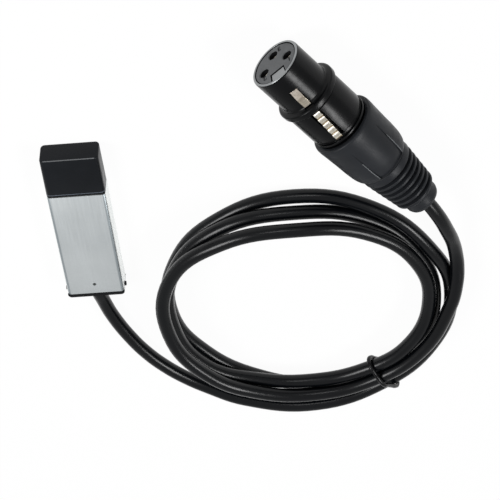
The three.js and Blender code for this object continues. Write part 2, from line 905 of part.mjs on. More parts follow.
// One ridge of the push lever, as shares of the ridges' pitch and height
const ridgeShares = [[0, 0], [0.15, 1], [0.5, 1], [0.65, 0]];

// The latch in side view: hook, plate, ridged push lever and the tail that it tips about.
// Drawn with the place along the axis as X and the radius as Y.
function xlrLatch() {
  const points = [
    [latch.hookFront, latch.bottom],
    [latch.hookFront, latch.hookNose],
    [latch.hookBend, latch.hookTop],
    [latch.hookRear, latch.hookTop],
    [latch.hookRear, latch.top],
    [latch.buttonFront, latch.top],
  ];
  const pitch = (latch.buttonRear - latch.buttonFront) / latch.ridges;
  const climb = (latch.buttonHigh - latch.buttonLow) / latch.ridges;
  for (let i = 0; i < latch.ridges; i += 1) {
    const from = latch.buttonFront + i * pitch;
    const height = latch.buttonLow + i * climb;
    for (const [place, lift] of ridgeShares) {
      points.push([from + place * pitch, height + lift * latch.ridgeHeight]);
    }
  }
  points.push([latch.buttonRear, latch.buttonHigh - climb]);
  points.push([latch.buttonRear, latch.top]);
  points.push([latch.tail, latch.top]);
  points.push([latch.tail, latch.bottom]);
  const geometry = new THREE.ExtrudeGeometry(outline(points), { depth: latch.width, bevelEnabled: false });
  geometry.translate(0, 0, -latch.width / 2);
  geometry.rotateY(-Math.PI / 2);
  return atKey(geometry);
}

function latchSpring() {
  const points = [];
  const steps = spring.curls * spring.curlSteps;
  const rise = springLength - 2 * spring.wireRadius;
  for (let i = 0; i <= steps; i += 1) {
    const turn = (i / spring.curlSteps) * 2 * Math.PI;
    points.push(new THREE.Vector3(
      spring.radius * Math.cos(turn),
      spring.foot + spring.wireRadius + (rise * i) / steps,
      spring.place + spring.radius * Math.sin(turn),
    ));
  }
  const step = (2 * Math.PI * spring.radius) / spring.curlSteps;
  return atKey(tubeAlong(points, spring.wireRadius, spring.sides, step));
}

// The clamp that grips the cord: a cup round the solder joints, then four tapered fingers
const chuck = { fingers: 38, taper: 40, tipRadius: 5, cupRadius: 5.4, cupEnd: 33, slits: 2, slitWidth: 0.8 };

function xlrChuck() {
  const front = insert.rear + seatGap;
  const bore = cordDiameter / 2 + seatGap;
  const profile = [
    [chuck.cupRadius, front],
    [insert.radius, front],
    [insert.radius, chuck.taper],
    [chuck.tipRadius, chuckRear],
    [bore, chuckRear],
    [bore, chuck.cupEnd],
    [chuck.cupRadius, chuck.cupEnd],
    [chuck.cupRadius, front],
  ];
  const half = latch.width / 2 + seatGap;
  const notch = atKey(box(
    -half,
    half,
    channelFloor,
    shellBore + overrun,
    front - overrun,
    latch.tail + seatGap,
  ));
  const slits = [];
  for (let i = 0; i < chuck.slits; i += 1) {
    const slit = box(
      -insert.radius - overrun,
      insert.radius + overrun,
      -chuck.slitWidth / 2,
      chuck.slitWidth / 2,
      chuck.fingers,
      chuckRear + overrun,
    );
    slit.rotateZ((i / chuck.slits) * Math.PI);
    slits.push(slit);
  }
  return cut(revolve(profile, barrelSides), notch, ...slits);
}

// The boot's grip: radius and place as shares of the boot's radius and length
const gripShares = [
  [0.946, 0], [0.985, 0.005], [1, 0.02], [1, 0.05], [0.988, 0.094], [0.964, 0.218], [0.957, 0.293],
  [0.936, 0.367], [0.917, 0.4], [0.887, 0.427], [0.843, 0.447],
  [0.745, 0.449], [0.814, 0.456], [0.814, 0.516],
];
const bootTail = {
  ribs: 6,
  firstRib: 51.7,
  pitch: 2.16,
  ribWidth: 1.1,
  grooveWidth: 0.6,
  firstRadius: 8.1,
  lastRadius: 6.8,
  grooveDepth: 1.3,
  collarRadius: 5.4,
  collarFrom: 64.2,
  ease: 0.3,
  endRound: 1.2,
};
const bootPanel = { from: 34, to: 47, depth: 0.42, frontDepth: 0.05, halfAngle: 35, angles: [40, 220] };

// A sector of a ring whose floor follows the grip, deeper towards its rear
function bootPanelCutter(degrees) {
  const floor = gripShares
    .map(([radius, place]) => [radius * bootRadius, bootFront + place * bootLength])
    .filter(([, place]) => place > bootPanel.from && place < bootPanel.to);
  floor.unshift([floor[0][0], bootPanel.from]);
  floor.push([floor.at(-1)[0], bootPanel.to]);
  const outer = bootRadius + overrun;
  const profile = [[outer, bootPanel.from]];
  for (const [radius, place] of floor) {
    const share = (place - bootPanel.from) / (bootPanel.to - bootPanel.from);
    profile.push([radius - THREE.MathUtils.lerp(bootPanel.frontDepth, bootPanel.depth, share), place]);
  }
  profile.push([outer, bootPanel.to]);
  profile.push(profile[0]);
  const middle = Math.PI / 2 - THREE.MathUtils.degToRad(degrees);
  const half = THREE.MathUtils.degToRad(bootPanel.halfAngle);
  const reach = 2 * bootRadius;
  const corners = [middle - half, middle, middle + half].map(
    (turn) => [reach * Math.cos(turn), reach * Math.sin(turn)],
  );
  const sector = alongZ(outline([[0, 0], ...corners]), bootPanel.from - overrun, bootPanel.to + overrun);
  return solid(revolve(profile, barrelSides)).intersect(solid(sector));
}

// The boot: rounded front edge, smooth swelling grip with a flat panel on two sides, a wide rib,
// six thin ribs and the end collar
function xlrBoot() {
  const profile = gripShares.map(([radius, place]) => [radius * bootRadius, bootFront + place * bootLength]);
  const bore = cordDiameter / 2 + seatGap;
  for (let i = 0; i < bootTail.ribs; i += 1) {
    const share = i / (bootTail.ribs - 1);
    const middle = bootTail.firstRib + i * bootTail.pitch;
    const radius = THREE.MathUtils.lerp(bootTail.firstRadius, bootTail.lastRadius, share);
    const groove = radius - bootTail.grooveDepth;
    const grooveMiddle = middle - bootTail.pitch / 2;
    profile.push([groove, grooveMiddle - bootTail.grooveWidth / 2]);
    profile.push([groove, grooveMiddle + bootTail.grooveWidth / 2]);
    profile.push([radius, middle - bootTail.ribWidth / 2]);
    profile.push([radius, middle + bootTail.ribWidth / 2]);
  }
  profile.push([bootTail.collarRadius + bootTail.ease, bootTail.collarFrom - bootTail.ease]);
  profile.push([bootTail.collarRadius, bootTail.collarFrom]);
  profile.push([bootTail.collarRadius, bootRear - bootTail.endRound]);
  profile.push([bootTail.collarRadius - bootTail.endRound / 3, bootRear - bootTail.endRound / 3]);
  profile.push([bootTail.collarRadius - bootTail.endRound, bootRear]);
  profile.push([bore, bootRear]);
  profile.push([bore, chuckRear + seatGap]);
  profile.push([chuck.tipRadius + seatGap, chuckRear + seatGap]);
  profile.push([insert.radius + seatGap, chuck.taper]);
  profile.push([insert.radius + seatGap, spigotEnd + seatGap]);
  profile.push([neckRadius + seatGap, spigotEnd + seatGap]);
  profile.push([neckRadius + seatGap, bootFront]);
  profile.push(profile[0]);
  let body = solid(revolve(profile, barrelSides));
  for (const degrees of bootPanel.angles) {
    body = body.subtract(bootPanelCutter(degrees));
  }
  return geometryOf(body);
}

// Pieces of the USB stick
piece('housing_tube', housingTube(), finish.brushedAluminium);
piece('usb_cap', usbCap(), finish.satinBlack);
piece('rear_end_cap', rearEndCap(), finish.satinBlack);
piece('front_bezel', frontBezel(), finish.satinBlack);
piece('usb_plug_shell', usbPlugShell(), finish.steel);
piece(
  'usb_tongue',
  box(-tongue.width / 2, tongue.width / 2, plugTip + tongue.setBack, plugRear, plugFloor, tongueTop),
  finish.whitePlastic,
);
[-contact.outer, -contact.inner, contact.inner, contact.outer].forEach((x, i) => {
  const isInner = Math.abs(x) === contact.inner;
  const front = plugTip + contact.setBack + (isInner ? contact.innerSetBack : 0);
  const strip = box(
    x - contact.width / 2,
    x + contact.width / 2,
    front,
    boardFront + contact.tail,
    tongueTop,
    tongueTop + contact.thickness,
  );
  piece(`usb_contact_${i + 1}`, strip, finish.gold);
});
piece('circuit_board', circuitBoard(), finish.boardGreen);
const componentLooks = {
  crystal: finish.steel,
  capacitor_1: finish.ceramicTan,
  capacitor_2: finish.ceramicTan,
  capacitor_3: finish.ceramicTan,
};
for (const [name, sizes] of Object.entries(components)) {
  piece(name, component(sizes), componentLooks[name] ?? finish.chipBlack);
}
piece('status_led', statusLed(), finish.ledGreen);
piece('cord_ferrule', cordFerrule(), finish.steel);
const wireLooks = [finish.wireRed, finish.wireWhite, finish.wireBare];
boardWires().forEach((geometry, i) => {
  piece(`board_wire_${i + 1}`, geometry, wireLooks[i]);
});

// Pieces of the cord
const lead = (points) => tubeAlong(points, cordDiameter / 2, cordSides, 2 * cordDiameter);
piece('cord_usb_lead', lead(usbLeadRoute()), finish.cordBlack);
piece('cord_coil', ringTube(coilRoute, cordDiameter / 2, coilSides, upward, false), finish.cordBlack);
piece('cord_tie', cordTie(), finish.satinBlack);
piece('cord_xlr_lead', lead(xlrLeadRoute()), finish.cordBlack);

const cordRuns = [smoothPath(usbLeadRoute()), coilPath, smoothPath(xlrLeadRoute())];
const cordLength = cordRuns.reduce((sum, run) => sum + run.getLength(), 0);
const coilGap = leastSelfGap(coilPath, cordDiameter / 2, coilRadius);
console.log(`cord length ${cordLength.toFixed(0)} mm`);
console.log(`coil's least gap to itself ${coilGap.toFixed(2)} mm`);

// Pieces of the XLR connector
piece('xlr_shell', xlrShell(), finish.shellBlack, xlrGroup);
piece('xlr_insert', xlrInsert(), finish.insertGrey, xlrGroup);
pinPlaces().forEach((place, i) => {
  piece(`xlr_contact_${i + 1}`, xlrContact(place), finish.gold, xlrGroup);
});
pinPlaces().forEach((place, i) => {
  piece(`connector_wire_${i + 1}`, connectorWire(place), wireLooks[i], xlrGroup);
});
piece('xlr_latch', xlrLatch(), finish.nickel, xlrGroup);
piece('latch_spring', latchSpring(), finish.steel, xlrGroup);
piece('xlr_chuck', xlrChuck(), finish.whitePlastic, xlrGroup);
piece('xlr_boot', xlrBoot(), finish.bootBlack, xlrGroup);

export default interfaceGroup;
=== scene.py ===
import math
import bpy
import bmesh
from mathutils import Matrix, Vector
from mathutils.geometry import convex_hull_2d


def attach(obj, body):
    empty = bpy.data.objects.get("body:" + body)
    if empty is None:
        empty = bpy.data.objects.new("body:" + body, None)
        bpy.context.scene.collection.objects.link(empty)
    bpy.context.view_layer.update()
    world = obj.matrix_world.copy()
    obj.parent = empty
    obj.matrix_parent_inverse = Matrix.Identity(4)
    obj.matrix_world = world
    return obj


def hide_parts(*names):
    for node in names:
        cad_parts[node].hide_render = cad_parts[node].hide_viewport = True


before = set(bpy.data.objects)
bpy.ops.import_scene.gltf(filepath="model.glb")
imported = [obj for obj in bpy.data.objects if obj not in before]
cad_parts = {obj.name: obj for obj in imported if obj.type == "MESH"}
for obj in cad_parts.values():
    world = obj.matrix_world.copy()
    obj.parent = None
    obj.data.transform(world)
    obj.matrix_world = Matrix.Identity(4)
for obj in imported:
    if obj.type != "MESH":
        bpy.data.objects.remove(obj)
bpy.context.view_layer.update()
print("frame loaded:", len(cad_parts), "nodes")

# All sizes below are millimetres; a finished piece is scaled to metres
toMetres = Matrix.Scale(0.001, 4)
toMillimetres = Matrix.Scale(1000, 4)
fullTurn = 2 * math.pi


def metres(point):
    return toMetres @ Vector(point)


def addObject(name, data):
    thing = bpy.data.objects.new(name, data)
    bpy.context.scene.collection.objects.link(thing)
    return thing


# Camera

view = {
    "place": (-92.936, -440.772, 468.006),
    "target": (-48.113, 20.564, 0.0),
    "azimuth": -5.549,
    "lens": 154.8,
}


def addCamera():
    camera = addObject("camera", bpy.data.cameras.new("camera"))
    back = (metres(view["place"]) - metres(view["target"])).normalized()
    turn = math.radians(view["azimuth"])
    right = Vector((-math.cos(turn), -math.sin(turn), 0))
    right = (right - right.dot(back) * back).normalized()
    up = back.cross(right)
    pose = Matrix((right, up, back)).transposed().to_4x4()
    pose.translation = metres(view["place"])
    camera.matrix_world = pose
    camera.data.lens = view["lens"]
    camera.data.sensor_width = 36
    camera.data.clip_start = 0.01
    bpy.context.scene.camera = camera


addCamera()
print("camera placed")

# Materials: each reads Object coordinates in metres

# a noise pattern lies mostly between these two values
grainLow, grainHigh = 0.3, 0.7

# places on the pieces that the painted highlights and shade follow: on the case and cap as seen from the
# stick's middle, on the latch as measured along the connector's axis
marks = {
    "caseHalf": 8.8,
    "capBandFrom": -16,
    "capBand": 2.2,
    "capTopEdge": 25.19,
    "latchAxis": (-0.573576, 0.819152, 0),
    "nose": -14.03,
    "hookSpan": 20,
    "leverFrom": 14.5,
    "firstRidge": 1.77,
    "ridgePitch": 2.12,
}


def startMaterial(name, colour, roughness, metal=0.0, specular=0.5):
    material = bpy.data.materials.new(name)
    material.use_nodes = True
    tree = material.node_tree
    shader = tree.nodes["Principled BSDF"]
    shader.inputs["Base Color"].default_value = (*colour, 1)
    shader.inputs["Roughness"].default_value = roughness
    shader.inputs["Metallic"].default_value = metal
    shader.inputs["Specular IOR Level"].default_value = specular
    return material, tree, shader


def addNode(tree, kind, values, links, **settings):
    # a shader node with the values of its inputs, what is linked into them, and its settings
    node = tree.nodes.new(kind)
    for name, value in settings.items():
        setattr(node, name, value)
    for name, value in values.items():
        node.inputs[name].default_value = value
    for name, source in links.items():
        tree.links.new(source, node.inputs[name])
    return node


def objectPlace(tree):
    return tree.nodes.new("ShaderNodeTexCoord").outputs["Object"]


def grain(tree, scale, stretch=(1, 1, 1), detail=3.0):
    mapping = addNode(tree, "ShaderNodeMapping", {"Scale": stretch}, {"Vector": objectPlace(tree)})
    links = {"Vector": mapping.outputs["Vector"]}
    return addNode(tree, "ShaderNodeTexNoise", {"Scale": scale, "Detail": detail}, links).outputs["Fac"]


def alongLine(tree, direction, start, pitch=1.0):
    # how far a point lies along a line in space, in pitches from its start
    line, place = {1: Vector(direction) * 1000 / pitch}, {0: objectPlace(tree)}
    dot = addNode(tree, "ShaderNodeVectorMath", line, place, operation="DOT_PRODUCT")
    return calculated(tree, "SUBTRACT", dot.outputs["Value"], start / pitch)


def calculated(tree, operation, value, other=0.0):
    return addNode(tree, "ShaderNodeMath", {1: other}, {0: value}, operation=operation).outputs[0]


def spread(tree, shader, pattern, low, high):
    # the roughness varies with a pattern
    ends = {"From Min": grainLow, "From Max": grainHigh, "To Min": low, "To Max": high}
    ranged = addNode(tree, "ShaderNodeMapRange", ends, {"Value": pattern})
    tree.links.new(ranged.outputs["Result"], shader.inputs["Roughness"])


def relief(tree, shader, pattern, height, strength):
    values = {"Strength": strength, "Distance": height * 0.001}
    bump = addNode(tree, "ShaderNodeBump", values, {"Height": pattern})
    tree.links.new(bump.outputs["Normal"], shader.inputs["Normal"])


def bands(tree, pattern, stops):
    # a colour at each place of a pattern, given from low to high
    ramp = addNode(tree, "ShaderNodeValToRGB", {}, {"Fac": pattern})
    for place, colour in stops[1:-1]:
        ramp.color_ramp.elements.new(place)
    for element, (place, colour) in zip(ramp.color_ramp.elements, stops):
        element.position = place
        element.color = (*colour, 1)
    return ramp.outputs["Color"]


def tint(tree, shader, pattern, dark, light, low=grainLow, high=grainHigh):
    colour = bands(tree, pattern, [(low, dark), (high, light)])
    tree.links.new(colour, shader.inputs["Base Color"])
    return colour


def multiplied(tree, shader, first, second):
    links = {"A": first, "B": second}
    mix = addNode(tree, "ShaderNodeMix", {"Factor": 1.0}, links, data_type="RGBA", blend_type="MULTIPLY")
    tree.links.new(mix.outputs["Result"], shader.inputs["Base Color"])
    return mix.outputs["Result"]


def chosen(tree, share, first, second):
    # the first colour where the share is none, the second where it is one
    links = {"Factor": share, "A": first, "B": second}
    return addNode(tree, "ShaderNodeMix", {}, links, data_type="RGBA").outputs["Result"]


def anodisedAluminium():
    # drawn along the case, with a line of painted shade on the rounded edge where the top turns down and
    # a painted highlight on the side beyond it
    material, tree, shader = startMaterial("anodised aluminium", (0.57, 0.605, 0.62), 0.36, 0.8)
    drawn = grain(tree, 900, stretch=(6, 0.12, 6), detail=4)
    clouds = tint(tree, shader, grain(tree, 60, detail=4), (0.59, 0.628, 0.642), (0.66, 0.697, 0.708))
    side = calculated(tree, "ABSOLUTE", alongLine(tree, (1, 0, 0), 0, marks["caseHalf"]))
    # painted shade on the rounded edge, then a painted highlight on the side face
    plain, dark, sideHighlight = (1, 1, 1), (0.55, 0.58, 0.6), (1.4, 1.36, 1.32)
    edge = bands(tree, side, [(0, plain), (0.87, plain), (0.91, dark), (0.965, dark), (0.985, sideHighlight)])
    multiplied(tree, shader, clouds, edge)
    spread(tree, shader, drawn, 0.3, 0.42)
    relief(tree, shader, grain(tree, 5200, detail=2), 0.004, 0.5)
    return material


def mouldedPlastic(name, colour, roughness, specular, pebble=1600):
    material, tree, shader = startMaterial(name, colour, roughness, specular=specular)
    lighter = tuple(1.45 * c for c in colour)
    tint(tree, shader, grain(tree, 90, detail=5), colour, lighter)
    spread(tree, shader, grain(tree, 420, detail=4), roughness - 0.06, roughness + 0.08)
    relief(tree, shader, grain(tree, pebble, detail=2), 0.012, 0.35)
    return material


def plainMetal(name, colour, roughness, line=(1, 1, 1)):
    # the line stretches the brushed grain along one axis
    material, tree, shader = startMaterial(name, colour, roughness, 1.0)
    darker = tuple(0.92 * c for c in colour)
    tint(tree, shader, grain(tree, 350, detail=5), darker, colour)
    brushed = grain(tree, 1500, stretch=line)
    spread(tree, shader, brushed, roughness - 0.05, roughness + 0.1)
    relief(tree, shader, brushed, 0.003, 0.4)
    return material


def cordJacket():
    material, tree, shader = startMaterial("cord jacket", (0.0012, 0.0016, 0.0023), 0.25, specular=0.23)
    tint(tree, shader, grain(tree, 45, detail=5), (0.001, 0.0013, 0.0019), (0.0018, 0.0024, 0.0033))
    spread(tree, shader, grain(tree, 260, detail=4), 0.23, 0.27)
    relief(tree, shader, grain(tree, 90, detail=2), 0.002, 0.05)
    return material


def shellPaint():
    material, tree, shader = startMaterial("shell black", (0.0012, 0.0014, 0.0018), 0.24, specular=0.15)
    tint(tree, shader, grain(tree, 120, detail=5), (0.001, 0.0012, 0.0015), (0.002, 0.0022, 0.0027))
    spread(tree, shader, grain(tree, 700, detail=5), 0.22, 0.28)
    relief(tree, shader, grain(tree, 900, detail=2), 0.003, 0.2)
    return material


def boardLacquer():
    material, tree, shader = startMaterial("board lacquer", (0.02, 0.12, 0.06), 0.35)
    tracks = grain(tree, 700, stretch=(1, 0.15, 1), detail=0)
    tint(tree, shader, tracks, (0.012, 0.085, 0.04), (0.03, 0.17, 0.085), 0.47, 0.53)
    relief(tree, shader, tracks, 0.03, 0.5)
    return material


def capacitorBody():
    # tan ceramic
    material, tree, shader = startMaterial("chip ceramic", (0.4, 0.26, 0.15), 0.45)
    tint(tree, shader, grain(tree, 2500, detail=4), (0.33, 0.21, 0.12), (0.46, 0.31, 0.19))
    spread(tree, shader, grain(tree, 900), 0.38, 0.55)
    return material


def capPlastic():
    # black, with a painted highlight along its far top edge, a painted highlight line near its mouth, and
    # painted shade up to the mouth
    material, tree, shader = startMaterial("cap black", (0.005, 0.006, 0.0075), 0.3, specular=0.1)
    cloudy = grain(tree, 90, detail=5)
    clouds = tint(tree, shader, cloudy, (0.0064, 0.0074, 0.009), (0.0096, 0.011, 0.0134))
    # a painted highlight line about a millimetre short of the mouth, then painted shade up to the mouth
    clear, mouthHighlight, shaded = (1, 1, 1), (14, 14, 14), (0.4, 0.4, 0.4)
    behindMouth = alongLine(tree, (0, 1, 0), marks["capBandFrom"], marks["capBand"])
    band = bands(tree, behindMouth, [
        (0, clear), (0.5, clear), (0.53, mouthHighlight), (0.59, mouthHighlight), (0.62, clear), (0.75, shaded)])
    banded = multiplied(tree, shader, clouds, band)
    # a painted highlight along the far top edge
    sloping = alongLine(tree, (0, -math.sqrt(0.5), math.sqrt(0.5)), 0)
    topEdge = calculated(tree, "GREATER_THAN", sloping, marks["capTopEdge"])
    topEdgeHighlight = tree.nodes.new("ShaderNodeRGB").outputs["Color"]
    topEdgeHighlight.default_value = (0.13, 0.135, 0.14, 1)
    tree.links.new(chosen(tree, topEdge, banded, topEdgeHighlight), shader.inputs["Base Color"])
    spread(tree, shader, grain(tree, 420, detail=4), 0.25, 0.36)
    relief(tree, shader, grain(tree, 1600, detail=2), 0.006, 0.3)
    return material


def latchNickel():
    # warm nickel, with painted highlights on its ridges and painted shade in the hollows between them
    material, tree, shader = startMaterial("latch nickel", (0.6, 0.56, 0.49), 0.25, 1.0)
    clouds = tint(tree, shader, grain(tree, 500, detail=5), (0.82, 0.8, 0.77), (1, 1, 1))
    axis, nose = marks["latchAxis"], marks["nose"]
    ridge = calculated(tree, "FRACT", alongLine(tree, axis, marks["firstRidge"], marks["ridgePitch"]))
    # each ridge gets two painted highlight bands, with painted shade in the hollow before the next ridge
    hollowShade, crest = (0.25, 0.2, 0.13), (1.0, 0.97, 0.9)
    stripes = bands(tree, ridge, [
        (0, hollowShade), (0.1, crest), (0.22, crest), (0.36, (0.62, 0.58, 0.47)),
        (0.56, (1.0, 0.97, 0.88)), (0.78, (0.9, 0.86, 0.75)), (0.9, hollowShade)])
    # the hook gets lit and shaded tones: lighter along its sloping front, with a painted highlight just
    # ahead of its bend and painted shade just behind it
    hook = bands(tree, alongLine(tree, axis, nose, marks["hookSpan"]), [
        (0, (0.62, 0.565, 0.5)), (0.44, (0.73, 0.66, 0.58)), (0.455, (0.5, 0.45, 0.37)),
        (0.62, (0.58, 0.53, 0.45))])
    onLever = calculated(tree, "GREATER_THAN", alongLine(tree, axis, nose), marks["leverFrom"])
    multiplied(tree, shader, clouds, chosen(tree, onLever, hook, stripes))
    spread(tree, shader, grain(tree, 1400), 0.2, 0.36)
    relief(tree, shader, grain(tree, 2600, detail=2), 0.004, 0.4)
    return material


def lampLens():
    material, tree, shader = startMaterial("lamp lens", (0.32, 0.34, 0.3), 0.12)
    shader.inputs["Coat Weight"].default_value = 0.6
    tint(tree, shader, grain(tree, 1500, detail=4), (0.26, 0.28, 0.24), (0.4, 0.42, 0.37))
    return material


def insulation(name, colour):
    material, tree, shader = startMaterial(name, colour, 0.4)
    tint(tree, shader, grain(tree, 400, detail=4), tuple(0.8 * c for c in colour), colour)
    spread(tree, shader, grain(tree, 1500), 0.34, 0.5)
    return material


finish = {
    "aluminium": anodisedAluminium(),
    "capBlack": capPlastic(),
    "rearBlack": mouldedPlastic("rear cap black", (0.004, 0.0042, 0.0048), 0.32, 0.12),
    "bezelBlack": mouldedPlastic("bezel black", (0.014, 0.014, 0.0145), 0.5, 0.4),
    "plugSteel": plainMetal("plug steel", (0.62, 0.63, 0.64), 0.26, (8, 0.3, 8)),
    "gold": plainMetal("contact gold", (0.83, 0.6, 0.25), 0.24, (6, 0.5, 6)),
    "tongueWhite": mouldedPlastic("tongue white", (0.62, 0.62, 0.58), 0.45, 0.5),
    "board": boardLacquer(),
    "chip": mouldedPlastic("chip black", (0.02, 0.02, 0.021), 0.6, 0.4, 3200),
    "ceramic": capacitorBody(),
    "can": plainMetal("crystal can", (0.7, 0.71, 0.72), 0.22),
    "lens": lampLens(),
    "ferrule": plainMetal("ferrule steel", (0.55, 0.56, 0.58), 0.3),
    "jacket": cordJacket(),
    "tie": mouldedPlastic("tie black", (0.003, 0.003, 0.0035), 0.22, 0.2),
    "shell": shellPaint(),
    "bareRim": plainMetal("bare rim", (0.3, 0.31, 0.315), 0.36),
    "insert": mouldedPlastic("insert grey", (0.084, 0.087, 0.09), 0.5, 0.22),
    "numeral": mouldedPlastic("numeral dark", (0.004, 0.004, 0.0045), 0.5, 0.1),
    "insertPaintedShade": mouldedPlastic("insert painted shade", (0.006, 0.006, 0.0065), 0.6, 0.1),
    "silver": plainMetal("contact bronze", (0.2, 0.18, 0.14), 0.22),
    "nickel": latchNickel(),
    "spring": plainMetal("spring steel", (0.5, 0.5, 0.52), 0.25),
    "chuck": mouldedPlastic("clamp black", (0.015, 0.015, 0.016), 0.5, 0.4),
    "boot": mouldedPlastic("boot charcoal", (0.0118, 0.013, 0.0152), 0.4, 0.15, 1100),
    "bootLedgeHighlight": mouldedPlastic("boot ledge highlight", (0.085, 0.09, 0.095), 0.36, 0.3, 1100),
    "wireRed": insulation("wire red", (0.35, 0.02, 0.015)),
    "wireWhite": insulation("wire white", (0.66, 0.65, 0.6)),
    "wireBare": plainMetal("wire copper", (0.62, 0.36, 0.22), 0.3),
}
print("materials mixed:", len(finish))

# Mesh helpers


def shift(x, y, z):
    return Matrix.Translation((x, y, z))


def block(x0, x1, y0, y1, z0, z1):
    bm = bmesh.new()
    middle = shift((x0 + x1) / 2, (y0 + y1) / 2, (z0 + z1) / 2)
    bmesh.ops.create_cube(bm, size=1, matrix=middle @ Matrix.Diagonal((x1 - x0, y1 - y0, z1 - z0, 1)))
    return bm


def roundOff(bm, parts, radius, segments=4, affect="EDGES", material=-1, clamp=True):
    bmesh.ops.bevel(
        bm, geom=parts, offset=radius, offset_type="OFFSET", segments=segments,
        profile=0.5, affect=affect, material=material, clamp_overlap=clamp,
    )


def edgesAlong(bm, axis):
    along = Vector(axis)
    return [e for e in bm.edges if abs((e.verts[1].co - e.verts[0].co).normalized().dot(along)) > 0.999]


def edgesAt(bm, axis, place):
    # the edges that lie in one plane square to an axis
    return [e for e in bm.edges if all(abs(v.co[axis] - place) < 1e-4 for v in e.verts)]


def turned(profile, steps, angle=fullTurn, soften=0.0, closed=True):
    # a profile of (radius, place along the axis) turned about Z
    bm = bmesh.new()
    verts = [bm.verts.new((radius, 0, place)) for radius, place in profile]
    for a, b in zip(verts, verts[1:] + verts[:1] if closed else verts[1:]):
        bm.edges.new((a, b))
    if soften:
        roundOff(bm, list(bm.verts), soften, 3, "VERTICES")
    whole = angle == fullTurn
    bmesh.ops.spin(
        bm, geom=list(bm.verts) + list(bm.edges), cent=(0, 0, 0), axis=(0, 0, 1),
        angle=angle, steps=steps, use_merge=whole,
    )
    bmesh.ops.remove_doubles(bm, verts=bm.verts, dist=1e-5)
    bmesh.ops.recalc_face_normals(bm, faces=bm.faces)
    return bm


def drum(radius, z0, z1):
    bm = bmesh.new()
    bmesh.ops.create_cone(
        bm, cap_ends=True, segments=48, radius1=radius, radius2=radius, depth=z1 - z0,
        matrix=shift(0, 0, (z0 + z1) / 2),
    )
    return bm


# lays along Y what is drawn along Z
zToY = Matrix.Rotation(math.radians(-90), 4, "X")


def placed(bm, matrix):
    bm.transform(matrix)
    return bm


def looseObject(bm):
    mesh = bpy.data.meshes.new("loose")
    bm.to_mesh(mesh)
    bm.free()
    return addObject("loose", mesh)


def carve(body, *tools, how="DIFFERENCE"):
    # cuts the tools from the body, or joins them to it
    target = looseObject(body)
    used = []
    for tool in tools:
        other = looseObject(tool)
        used.append(other)
        step = target.modifiers.new("carve", "BOOLEAN")
        step.operation = how
        step.solver = "EXACT"
        step.object = other
    result = bmesh.new()
    result.from_object(target, bpy.context.evaluated_depsgraph_get())
    for other in used + [target]:
        bpy.data.meshes.remove(other.data)
    return result


def roundCurve(name, points, thickness, sides, steps, closed=False):
    # a round bar along smooth knots; sides and steps say how finely it is divided
    curve = bpy.data.curves.new(name, "CURVE")
    curve.dimensions = "3D"
    curve.bevel_depth = thickness / 2 * 0.001
    curve.bevel_resolution = sides
    curve.resolution_u = steps
    curve.use_fill_caps = not closed
    spline = curve.splines.new("BEZIER")
    spline.bezier_points.add(len(points) - 1)
    for point, knot in zip(points, spline.bezier_points):
        knot.co = metres(point)
        knot.handle_left_type = "AUTO"
        knot.handle_right_type = "AUTO"
    spline.use_cyclic_u = closed
    return curve


def addShape(bm, data, matrix):
    # adds a curve's or a text's mesh to another, placed by a matrix
    loose = addObject(data.name, data)
    mesh = bpy.data.meshes.new_from_object(loose.evaluated_get(bpy.context.evaluated_depsgraph_get()))
    bpy.data.objects.remove(loose)
    mesh.transform(matrix)
    bm.from_mesh(mesh)
    bpy.data.meshes.remove(mesh)
    return bm


def finishPiece(
        name, bm, look, replaced=(), place=Matrix.Identity(4), smooth=32, extra=(),
        body="interface"):
    # the extra looks are for the faces with a material index of 1 and up
    bmesh.ops.remove_doubles(bm, verts=bm.verts, dist=1e-5)
    bm.transform(toMetres @ place)
    mesh = bpy.data.meshes.new(name)
    bm.to_mesh(mesh)
    bm.free()
    mesh.shade_smooth()
    mesh.set_sharp_from_angle(angle=math.radians(smooth))
    for each in (look, *extra):
        mesh.materials.append(finish[each])
    piece = addObject(name, mesh)
    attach(piece, body)
    if replaced:
        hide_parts(*replaced)
    return piece


def softenEdges(piece, width):
    bevel = piece.modifiers.new("soft edges", "BEVEL")
    bevel.width = width * 0.001
    bevel.segments = 2
    bevel.limit_method = "ANGLE"
    bevel.angle_limit = math.radians(40)
    return piece


# The cord: one curve from the ferrule in the stick, through the coil, to the clamp in the boot

